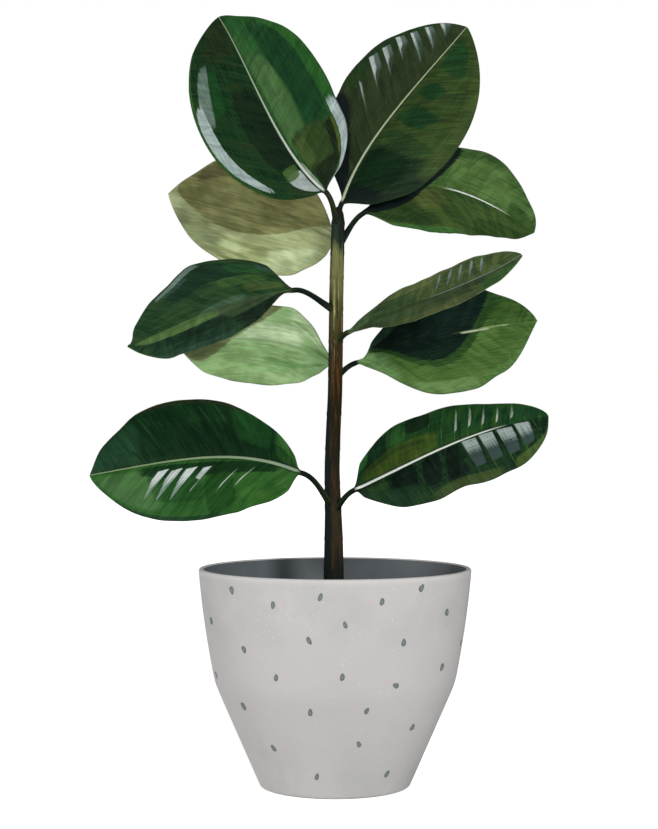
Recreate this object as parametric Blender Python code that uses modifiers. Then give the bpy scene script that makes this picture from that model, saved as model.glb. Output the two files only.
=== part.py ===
"""A rubber plant in a ceramic pot: one upright stem with ten broad leaves, standing in potting soil.

Everything is in metres with +Z up. The origin is the centre of the pot's flat underside, and -Y is the
plant's front. The leaves' own sizes are written in whole millimetres and turned to metres by mm().
"""

import math
from dataclasses import dataclass

import bmesh
import bpy
import numpy as np


def mm(value):
    """Millimetres as metres: a number, a point or a list of points."""
    return np.asarray(value, float) * 0.001


# Between pieces that touch
GAP = mm(0.3)

# The pot: a bowl-shaped upper wall over a straight cone, with a rolled lip
POT_HEIGHT = mm(174)
LIP_RADIUS = mm(109)
BELLY_RADIUS = mm(105.5)
BELLY_HEIGHT = mm(130)
SHOULDER_RADIUS = mm(96)
SHOULDER_HEIGHT = mm(83)
FOOT_RADIUS = mm(57)
FOOT_ROUND = mm(4)
WALL = mm(4.4)
FLOOR = mm(8)
INNER_ROUND = mm(9)
POT_STEPS = 48
UPPER_WALL_STEPS = 6
ROUND_STEPS = 4

# The soil in it
SOIL_LEVEL = mm(150)
SOIL_MOUND = mm(3)
SOIL_SHOULDER = mm(70)

# The stem: x of its centre and its radius at each height, from the root end to the growing tip
STEM_STATIONS = mm(
    [
        # height, x, radius
        (96, 0, 7.6),
        (150, -1, 8.4),
        (190, -1, 7.6),
        (222, -1.5, 6.6),
        (252, -2.4, 6.1),
        (284, -1.4, 5.9),
        (312, 0, 5.8),
        (352, 0.6, 5.8),
        (392, 1, 5.7),
        (428, 1.9, 5.6),
        (450, 2.5, 5.3),
        (457, 2.6, 4.4),
        (461, 2.7, 2.8),
        (463, 2.7, 1.2),
    ]
)
STEM_SIDES = 16

# What all the leaves share
STALK_RADIUS = mm(1.9)
STALK_FLARE = mm(1.3)
STALK_RINGS = 4
BLADE_THICKNESS = mm(0.9)
TIP_HALF_WIDTH = mm(1.2)
RIB_DEPTH = mm(1.5)
BLADE_RINGS = 15
BLADE_START = 0.12  # the share of the midrib along which the round stalk flattens into the blade
RIB_SHARE = 0.04  # the rib's half-width as a share of the blade's
# Places across the blade, from its left margin to its right
ACROSS = (-1, -0.55, -RIB_SHARE, RIB_SHARE, 0.55, 1)
SHOULDER_POWER = 0.45  # how full the outline is between its base and its tip


@dataclass
class Half:
    """One half of a blade, from the midrib to the margin."""

    width: float  # mm
    widest: float  # the share of the midrib at which it is widest
    base: float  # how pointed it is at the stalk: below 0.5 is heart-shaped, over 1 is a wedge
    tip: float  # and at the tip
    fold: float  # degrees that it rises from the flat at the midrib
    curl: float  # degrees that it turns down again by the margin


@dataclass
class Leaf:
    """A leaf with its stalk. Its left and right are as seen from above, with the tip pointing away."""

    name: str
    colour: str
    on_stem: tuple  # mm, where its stalk springs from the stem
    rib: tuple  # mm, the midrib at its base, one third, two thirds and tip
    faces: tuple  # the direction that the upper side looks
    left: Half
    right: Half


LEAVES = (
    Leaf(
        name="leaf_top_left",
        colour="24422b",
        on_stem=(2, -2, 449),
        rib=((-7, -14, 473), (-41, -2, 515), (-69, 22, 571), (-96, 56, 625)),
        faces=(-1, -10, 3),
        left=Half(width=57, widest=0.51, base=0.95, tip=0.65, fold=10, curl=24),
        right=Half(width=57, widest=0.46, base=0.5, tip=0.65, fold=10, curl=24),
    ),
    Leaf(
        name="leaf_top_right",
        colour="2a4128",
        on_stem=(3, 1, 447),
        rib=((5, 4, 465), (28, 18, 514), (65, 38, 564), (110, 68, 619)),
        faces=(-1, -10, 3),
        left=Half(width=62, widest=0.62, base=1.1, tip=0.42, fold=-12, curl=14),
        right=Half(width=61, widest=0.5, base=0.5, tip=0.75, fold=6, curl=20),
    ),
    Leaf(
        name="leaf_upper_right",
        colour="42592f",
        on_stem=(4, 0, 434),
        rib=((23, 14, 459), (63, 40, 483), (113, 72, 479), (170, 104, 451)),
        faces=(1, -9, 5),
        left=Half(width=49, widest=0.68, base=1.0, tip=0.4, fold=4, curl=16),
        right=Half(width=47, widest=0.42, base=0.5, tip=0.75, fold=10, curl=16),
    ),
    Leaf(
        name="leaf_upper_left",
        colour="7f8c5c",
        on_stem=(1, 2, 424),
        rib=((1, 16, 437), (-41, 50, 454), (-92, 84, 470), (-142, 112, 485)),
        faces=(1, 10, 2),
        left=Half(width=48, widest=0.5, base=1.1, tip=0.9, fold=8, curl=16),
        right=Half(width=48, widest=0.48, base=0.7, tip=0.75, fold=8, curl=16),
    ),
    Leaf(
        name="leaf_middle_left",
        colour="2f432d",
        on_stem=(0, -1, 380),
        rib=((-33, -20, 395), (-77, -54, 384), (-116, -88, 366), (-154, -118, 348)),
        faces=(-3, -15, 14),
        left=Half(width=46, widest=0.64, base=0.9, tip=0.4, fold=20, curl=20),
        right=Half(width=47, widest=0.36, base=0.5, tip=1.6, fold=16, curl=16),
    ),
    Leaf(
        name="leaf_middle_right",
        colour="304228",
        on_stem=(1, -1, 354),
        rib=((10, -10, 362), (51, -42, 379), (97, -74, 396), (140, -100, 417)),
        faces=(1, -10, 14),
        left=Half(width=37, widest=0.48, base=0.7, tip=0.7, fold=16, curl=20),
        right=Half(width=34, widest=0.55, base=0.9, tip=0.7, fold=10, curl=20),
    ),
    Leaf(
        name="leaf_middle_left_back",
        colour="7f9a63",
        on_stem=(1, 2, 330),
        rib=((-1, 14, 337), (-37, 48, 355), (-84, 82, 361), (-132, 110, 353)),
        faces=(1, 10, 2),
        left=Half(width=29, widest=0.5, base=1.4, tip=0.6, fold=8, curl=16),
        right=Half(width=41, widest=0.58, base=0.75, tip=0.6, fold=8, curl=16),
    ),
    Leaf(
        name="leaf_middle_right_back",
        colour="42592f",
        on_stem=(1, 1, 327),
        rib=((16, 12, 338), (60, 34, 354), (112, 62, 366), (171, 90, 375)),
        faces=(0, -10, 4),
        left=Half(width=42, widest=0.64, base=1.3, tip=0.6, fold=8, curl=16),
        right=Half(width=53, widest=0.52, base=1.1, tip=0.95, fold=8, curl=16),
    ),
    Leaf(
        name="leaf_lower_left",
        colour="1d3f22",
        on_stem=(-1, -1, 222),
        rib=((-27, -24, 251), (-78, -54, 264), (-131, -82, 261), (-184, -104, 252)),
        faces=(0, -10, 4),
        left=Half(width=50, widest=0.58, base=0.42, tip=0.6, fold=8, curl=20),
        right=Half(width=50, widest=0.5, base=0.8, tip=0.85, fold=8, curl=20),
    ),
    Leaf(
        name="leaf_lower_right",
        colour="1a2f1c",
        on_stem=(-1, -1, 219),
        rib=((15, -18, 237), (62, -46, 261), (108, -74, 282), (160, -98, 296)),
        faces=(1, -9, 5),
        left=Half(width=36, widest=0.39, base=0.4, tip=0.6, fold=0, curl=20),
        right=Half(width=45, widest=0.6, base=0.5, tip=0.35, fold=10, curl=20),
    ),
)


# ---------------------------------------------------------------- scene and materials


def clear_scene():
    for obj in list(bpy.data.objects):
        bpy.data.objects.remove(obj, do_unlink=True)


def new_collection(name):
    collection = bpy.data.collections.new(name)
    bpy.context.scene.collection.children.link(collection)
    return collection


def linear(hex_colour):
    """An sRGB hex colour as linear red, green, blue and full alpha."""
    channels = [int(hex_colour[i : i + 2], 16) / 255 for i in (0, 2, 4)]
    return [c / 12.92 if c <= 0.04045 else ((c + 0.055) / 1.055) ** 2.4 for c in channels] + [1]


def finish(obj, hex_colour, roughness):
    """Gives the object a material of its own."""
    material = bpy.data.materials.new(obj.name)
    material.use_nodes = True
    shader = material.node_tree.nodes["Principled BSDF"]
    shader.inputs["Base Color"].default_value = linear(hex_colour)
    shader.inputs["Roughness"].default_value = roughness
    obj.data.materials.append(material)


def new_object(name, mesh, collection):
    obj = bpy.data.objects.new(name, mesh)
    collection.objects.link(obj)
    return obj


# ---------------------------------------------------------------- turned pieces


def turned(name, profile, collection):
    """A solid turned about Z from an open profile of (radius, height) that starts and ends on the axis."""
    mesh = bpy.data.meshes.new(name)
    edges = [(i, i + 1) for i in range(len(profile) - 1)]
    mesh.from_pydata([(radius, 0, height) for radius, height in profile], edges, [])
    obj = new_object(name, mesh, collection)
    screw = obj.modifiers.new("turn", "SCREW")
    screw.steps = screw.render_steps = POT_STEPS
    screw.use_merge_vertices = True
    screw.merge_threshold = 0.00001
    screw.use_smooth_shade = True
    return obj


def arc(centre, radius, start, end, steps):
    """Points (radius, height) on an arc between two angles in degrees, 0 being outwards and 90 up."""
    angles = np.radians(np.linspace(start, end, steps + 1))
    return np.array(centre) + radius * np.stack([np.cos(angles), np.sin(angles)], -1)


def outer_wall():
    """The pot's outside below its lip, top to bottom, as (radius, height)."""
    lip = np.array((LIP_RADIUS, POT_HEIGHT - WALL / 2))
    belly = np.array((BELLY_RADIUS, BELLY_HEIGHT))
    shoulder = np.array((SHOULDER_RADIUS, SHOULDER_HEIGHT))
    s = np.linspace(0, 1, UPPER_WALL_STEPS + 1)[:, None]
    upper = (1 - s) ** 2 * lip + 2 * s * (1 - s) * belly + s**2 * shoulder
    cone_angle = math.degrees(math.atan2(SHOULDER_HEIGHT, SHOULDER_RADIUS - FOOT_RADIUS)) - 90
    foot = arc((FOOT_RADIUS, FOOT_ROUND), FOOT_ROUND, cone_angle, -90, ROUND_STEPS)
    return np.concatenate([upper, foot])


def inside_wall(wall, distance):
    """The wall moved inwards, square to itself, by this distance."""
    along = np.gradient(wall, axis=0)
    along /= np.linalg.norm(along, axis=1, keepdims=True)
    inwards = np.stack([along[:, 1], -along[:, 0]], -1)
    return wall + distance * inwards


def cavity(clearance):
    """The pot's hollow from its lip down to the middle of its floor, kept clear by this much."""
    wall = inside_wall(outer_wall()[: UPPER_WALL_STEPS + 2], WALL + clearance)
    floor = FLOOR + clearance
    slope = (wall[-1] - wall[-2]) / (wall[-1] - wall[-2])[1]
    corner_height = floor + INNER_ROUND
    corner = wall[-2] + slope * (corner_height - wall[-2][1])
    floor_corner = arc((corner[0] - INNER_ROUND, corner_height), INNER_ROUND, 0, -90, ROUND_STEPS)
    return np.concatenate([wall[:-1], floor_corner, [(0, floor)]])


def build_pot(collection):
    """One wall from the floor's middle, up inside, over the lip and down outside to the underside's middle."""
    outside = outer_wall()
    inside = cavity(0)
    lip_centre = (outside[0] + inside[0]) / 2
    lip = arc(lip_centre, WALL / 2, 180, 0, ROUND_STEPS)[1:-1]
    profile = np.concatenate([inside[::-1], lip, outside, [(0, 0)]])
    pot = turned("pot", profile, collection)
    finish(pot, "bfbcbb", 0.5)


def build_soil(collection, stem_cutter):
    """The root ball's space, filled: a low mound round the stem, and the pot's shape below its rim."""
    hollow = cavity(GAP)
    heights, radii = hollow[::-1, 1], hollow[::-1, 0]
    edge = (np.interp(SOIL_LEVEL, heights, radii), SOIL_LEVEL)
    top = [(0, SOIL_LEVEL + SOIL_MOUND), (SOIL_SHOULDER, SOIL_LEVEL + SOIL_MOUND / 2), edge]
    profile = np.concatenate([top, hollow[hollow[:, 1] < SOIL_LEVEL]])
    soil = turned("potting_soil", profile, collection)
    cut_by(soil, stem_cutter)
    finish(soil, "33291f", 0.95)


# ---------------------------------------------------------------- stem


def stem_mesh(name, growth):
    """The stem as a closed mesh, made this much fatter all round."""
    curve = bpy.data.curves.new(name, "CURVE")
    curve.dimensions = "3D"
    curve.bevel_depth = 1
    curve.bevel_resolution = STEM_SIDES // 4 - 1
    curve.use_fill_caps = True
    spline = curve.splines.new("POLY")
    spline.points.add(len(STEM_STATIONS) - 1)
    for point, (height, x, radius) in zip(spline.points, STEM_STATIONS):
        point.co = (x, 0, height, 1)
        point.radius = radius + growth
    spline.points[0].co.z -= growth
    spline.points[-1].co.z += growth
    return mesh_of_curve(curve)


def mesh_of_curve(curve):
    """The curve's surface as a mesh, its caps joined to its sides."""
    guide = bpy.data.objects.new("guide", curve)
    bpy.context.scene.collection.objects.link(guide)
    evaluated = guide.evaluated_get(bpy.context.evaluated_depsgraph_get())
    mesh = bpy.data.meshes.new_from_object(evaluated)
    mesh.name = curve.name
    bpy.data.objects.remove(guide)
    solid = bmesh.new()
    solid.from_mesh(mesh)
    bmesh.ops.remove_doubles(solid, verts=solid.verts, dist=0.000001)
    bmesh.ops.recalc_face_normals(solid, faces=solid.faces)
    solid.to_mesh(mesh)
    solid.free()
    mesh.shade_smooth()
    return mesh


def build_stem(collection):
    stem = new_object("stem", stem_mesh("stem", 0), collection)
    finish(stem, "38331f", 0.7)


def build_stem_cutter(collection):
    """The space that the soil and the leaf stalks leave for the stem."""
    cutter = new_object("stem_cutter", stem_mesh("stem_cutter", GAP), collection)
    cutter.hide_render = True
    cutter.display_type = "WIRE"
    return cutter


def cut_by(obj, cutter):
    boolean = obj.modifiers.new("clear_of_stem", "BOOLEAN")
    boolean.operation = "DIFFERENCE"
    boolean.object = cutter


# ---------------------------------------------------------------- leaves


def unit(vectors):
    return vectors / np.linalg.norm(vectors, axis=-1, keepdims=True)


def cubic_through(points, t):
    """The cubic that passes through four points at t = 0, 1/3, 2/3 and 1."""
    start, first, second, end = points
    t = t[:, None]
    return (
        -4.5 * (t - 1 / 3) * (t - 2 / 3) * (t - 1) * start
        + 13.5 * t * (t - 2 / 3) * (t - 1) * first
        - 13.5 * t * (t - 1 / 3) * (t - 1) * second
        + 4.5 * t * (t - 1 / 3) * (t - 2 / 3) * end
    )


def stalk_line(start, rib):
    """The stalk's centre line: out from the stem, then swinging into the midrib's direction."""
    base = rib[0]
    reach = np.linalg.norm(base - start) / 3
    into_blade = unit(rib[1] - rib[0])
    first, second = start + reach * unit(base - start), base - reach * into_blade
    s = np.linspace(0, 1, STALK_RINGS + 1)[:-1, None]
    return (
        (1 - s) ** 3 * start
        + 3 * s * (1 - s) ** 2 * first
        + 3 * s**2 * (1 - s) * second
        + s**3 * base
    )


def outline(half, t):
    """The half's width along the midrib, as a share of its greatest."""
    skewed = t ** (math.log(0.5) / math.log(half.widest))
    power = (
        SHOULDER_POWER
        + (half.tip - SHOULDER_POWER) * t**4
        + (half.base - SHOULDER_POWER) * (1 - t) ** 4
    )
    return np.maximum(np.sin(math.pi * skewed), 0) ** power


def across(half, v):
    """How far out and up a place at v along the half's folded and curled arc is, for a half of width 1."""
    fold, curl = math.radians(half.fold), math.radians(half.curl)
    out = (math.sin(fold) - math.sin(fold - curl * v)) / curl
    up = (math.cos(fold - curl * v) - math.cos(fold)) / curl
    return out, up


def blade_sections(leaf, t):
    """For each place along the midrib, the upper side's points across it and then the lower side's back."""
    shape = np.zeros((len(t), 2 * len(ACROSS), 2))
    for column, v in enumerate(ACROSS):
        half = leaf.left if v < 0 else leaf.right
        width = np.maximum(mm(half.width) * outline(half, t), TIP_HALF_WIDTH)
        out, up = across(half, abs(v))
        side = math.copysign(out, v) * width
        height = up * width
        depth = BLADE_THICKNESS / 2 + (RIB_DEPTH * (1 - t) if abs(v) == RIB_SHARE else 0)
        shape[:, column] = np.stack([side, height + BLADE_THICKNESS / 2], -1)
        shape[:, -1 - column] = np.stack([side, height - depth], -1)
    return shape


def round_section(radius):
    """A round section with its points in the blade section's order."""
    count = 2 * len(ACROSS)
    angles = math.pi * (1 - (2 * np.arange(count) + 1) / count)
    return radius * np.stack([np.cos(angles), np.sin(angles)], -1)


def leaf_sections(leaf):
    """The leaf's rings of points, from the middle of the stem to its tip."""
    rib = mm(leaf.rib)
    t = (1 - np.cos(np.linspace(0, math.pi, BLADE_RINGS))) / 2
    stalk = stalk_line(mm(leaf.on_stem), rib)
    line = np.concatenate([stalk, cubic_through(rib, t)])
    along = unit(np.gradient(line, axis=0))

    normal = np.tile(unit(np.array(leaf.faces, float)), (len(line), 1))
    for i in reversed(range(len(line))):
        if i < len(stalk):
            normal[i] = normal[i + 1]
        normal[i] = unit(normal[i] - (normal[i] @ along[i]) * along[i])
    side = np.cross(along, normal)

    flare = np.linspace(1, 0, len(stalk)) ** 3
    flat = blade_sections(leaf, t)
    round_end = round_section(STALK_RADIUS)
    share = np.clip(t / BLADE_START, 0, 1)
    share = (share**2 * (3 - 2 * share))[:, None, None]
    shape = np.concatenate(
        [
            [round_section(STALK_RADIUS + STALK_FLARE * f) for f in flare],
            (1 - share) * round_end + share * flat,
        ]
    )
    return line[:, None] + shape[..., :1] * side[:, None] + shape[..., 1:] * normal[:, None]


def loft(name, sections):
    """A closed mesh through rings of as many points each. Both sides of a blade split their quads alike."""
    solid = bmesh.new()
    rings = [[solid.verts.new(point) for point in section] for section in sections]
    count = len(rings[0])
    for near, far in zip(rings, rings[1:]):
        for k in range(count):
            a, b = near[k], near[(k + 1) % count]
            d, c = far[k], far[(k + 1) % count]
            triangles = ((a, b, c), (a, c, d)) if k < count // 2 else ((a, b, d), (b, c, d))
            for triangle in triangles:
                solid.faces.new(triangle)
    solid.faces.new(rings[0][::-1])
    solid.faces.new(rings[-1])
    bmesh.ops.recalc_face_normals(solid, faces=solid.faces)
    mesh = bpy.data.meshes.new(name)
    solid.to_mesh(mesh)
    solid.free()
    mesh.shade_smooth()
    mesh.set_sharp_from_angle(angle=math.radians(50))
    return mesh


def build_leaf(leaf, collection, stem_cutter):
    """One grown piece: a stalk, round at the stem, that flattens into a ribbed blade."""
    obj = new_object(leaf.name, loft(leaf.name, leaf_sections(leaf)), collection)
    cut_by(obj, stem_cutter)
    finish(obj, leaf.colour, 0.3)


def main():
    clear_scene()
    plant = new_collection("potted_rubber_plant")
    cutters = new_collection("cutters")
    stem_cutter = build_stem_cutter(cutters)
    build_pot(plant)
    build_soil(plant, stem_cutter)
    build_stem(plant)
    for leaf in LEAVES:
        build_leaf(leaf, plant, stem_cutter)


main()
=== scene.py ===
"""Potted rubber plant: a stoneware pot with brushed marks, potting soil, a woody stem and ten leaves.

Metres with +Z up and the origin at the centre of the pot's underside. -Y is the plant's front. Sizes that a
grower or a potter would give in millimetres are written so and turned to metres by mm().
"""

import math
from dataclasses import dataclass
from functools import partial

import bpy
import numpy as np
from bpy.props import FloatProperty, FloatVectorProperty, IntProperty, PointerProperty
from mathutils import Matrix, Vector, noise


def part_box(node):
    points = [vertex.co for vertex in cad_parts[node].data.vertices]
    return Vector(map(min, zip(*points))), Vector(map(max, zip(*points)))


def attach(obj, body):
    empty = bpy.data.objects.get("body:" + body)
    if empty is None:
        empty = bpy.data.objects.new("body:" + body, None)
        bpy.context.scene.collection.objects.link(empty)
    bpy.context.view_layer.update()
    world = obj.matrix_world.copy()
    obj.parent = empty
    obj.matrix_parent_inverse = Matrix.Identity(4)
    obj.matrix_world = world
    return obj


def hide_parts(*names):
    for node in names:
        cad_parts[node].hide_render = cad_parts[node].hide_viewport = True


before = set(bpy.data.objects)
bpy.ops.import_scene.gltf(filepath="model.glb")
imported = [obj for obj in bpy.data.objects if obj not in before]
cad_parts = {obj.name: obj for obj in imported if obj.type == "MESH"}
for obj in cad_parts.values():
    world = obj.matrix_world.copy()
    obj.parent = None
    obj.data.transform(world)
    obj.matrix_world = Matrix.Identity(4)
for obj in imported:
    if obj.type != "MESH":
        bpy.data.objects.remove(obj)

bl_info = {
    "name": "Potted rubber plant",
    "version": (1, 0, 0),
    "blender": (4, 5, 0),
    "location": "3D View > Sidebar > Rubber plant",
    "description": "Makes a rubber plant in a hand-marked stoneware pot, with its soil and a pale studio",
    "category": "Add Mesh",
}


def mm(value):
    """Millimetres as metres: a number, a point or a list of points."""
    return np.asarray(value, float) * 0.001


def linear(hex_colour):
    """An sRGB hex colour as linear red, green, blue and full alpha."""
    channels = [int(hex_colour[i : i + 2], 16) / 255 for i in (0, 2, 4)]
    return [c / 12.92 if c <= 0.04045 else ((c + 0.055) / 1.055) ** 2.4 for c in channels] + [1]


def unit(vectors):
    return vectors / np.linalg.norm(vectors, axis=-1, keepdims=True)


def smooth(values, times):
    """Averages each value but the first and last with its neighbours, this many times."""
    values = np.array(values, float)
    for _ in range(times):
        values[1:-1] = (values[:-2] + 2 * values[1:-1] + values[2:]) / 4
    return values


def eased(value):
    """0 below 0, 1 above 1, and a smooth step between."""
    value = np.clip(value, 0, 1)
    return value * value * (3 - 2 * value)


def bunched(count, amount):
    """This many numbers from 0 to 1, closer together towards both ends."""
    even = np.linspace(0, 1, count)
    return even - amount / (2 * math.pi) * np.sin(2 * math.pi * even)


# ---------------------------------------------------------------- what the plant is


@dataclass
class Half:
    """One half of a blade, from the midrib to the margin. Lengths are in millimetres."""

    width: float
    widest: float  # the share of the midrib at which it is widest
    base: float  # how pointed it is at the stalk: below 0.5 is heart-shaped, over 1 is a wedge
    tip: float  # and at the tip
    fold: float  # degrees that it rises from the flat at the midrib
    curl: float  # degrees that it turns down again by the margin
    tones: tuple  # its greens, from its deepest strokes to its top ones
    veins: tuple = (11, 0.85, 0)  # spacing of its side veins, how far they lean to the tip, and the first one
    waves: tuple = ()  # (place along the midrib, spread, mm outwards) where the margin swells or draws in
    strips: tuple = ()  # painted highlights of waxy sheen between side veins
    vein_line: tuple = ("4a6a38", 0.0)  # colour of the side veins' pale lines, and how strong they are


@dataclass
class Strips:
    """Painted highlights of waxy sheen that lie between neighbouring side veins and narrow as they run out.
    """

    first: float  # how many veins from the half's first one
    count: float
    widths: tuple  # (share of the way from the midrib to the margin, width as a share of the veins' spacing)
    near: str  # its colour towards the midrib
    far: str  # and towards the margin
    vary: float  # how unlike each other the strips are


@dataclass
class Patch:
    """A brushed area of another colour on a blade; some are painted shadows and painted highlights. Its
    places, lean and bow are percentages.
    """

    left: float  # it lies between these places across: -100 is the left margin, 0 the midrib, 100 the right
    right: float
    start: float  # and these two along: 0 is the stalk and 100 the tip
    end: float
    colour: str
    strength: float = 0.9
    ragged: float = 1.6  # how far the bristles break its edge
    soft: float = 0.2
    dry: float = 0.25  # how much the brush skips
    lean: float = 0  # how far it has moved across by its end, counted from its middle
    bow: float = 0  # how far its middle stands out across from its ends


@dataclass
class Midrib:
    base: str  # its colour at the stalk
    tip: str
    half_width: float  # mm, at the stalk
    seen: tuple = (-1, 2)  # between which shares of its length its pale line shows
    strength: float = 0.92


@dataclass
class Leaf:
    """A leaf with its stalk. Its left and right are as seen from above, with the tip pointing away."""

    name: str
    on_stem: tuple  # mm, where its stalk springs from the stem
    rib: tuple  # mm, the midrib at its base, one third, two thirds and tip
    faces: tuple  # the direction that the upper side looks
    left: Half
    right: Half
    midrib: Midrib
    lateral: float  # how much of the brushed grain runs along the side veins, and not along the blade
    under: tuple = ("6a7f50", "8fa274", "7b8a58")  # the greens of its underside, in the same order
    patches: tuple = ()  # a row for each Patch, from its left to its bow


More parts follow.
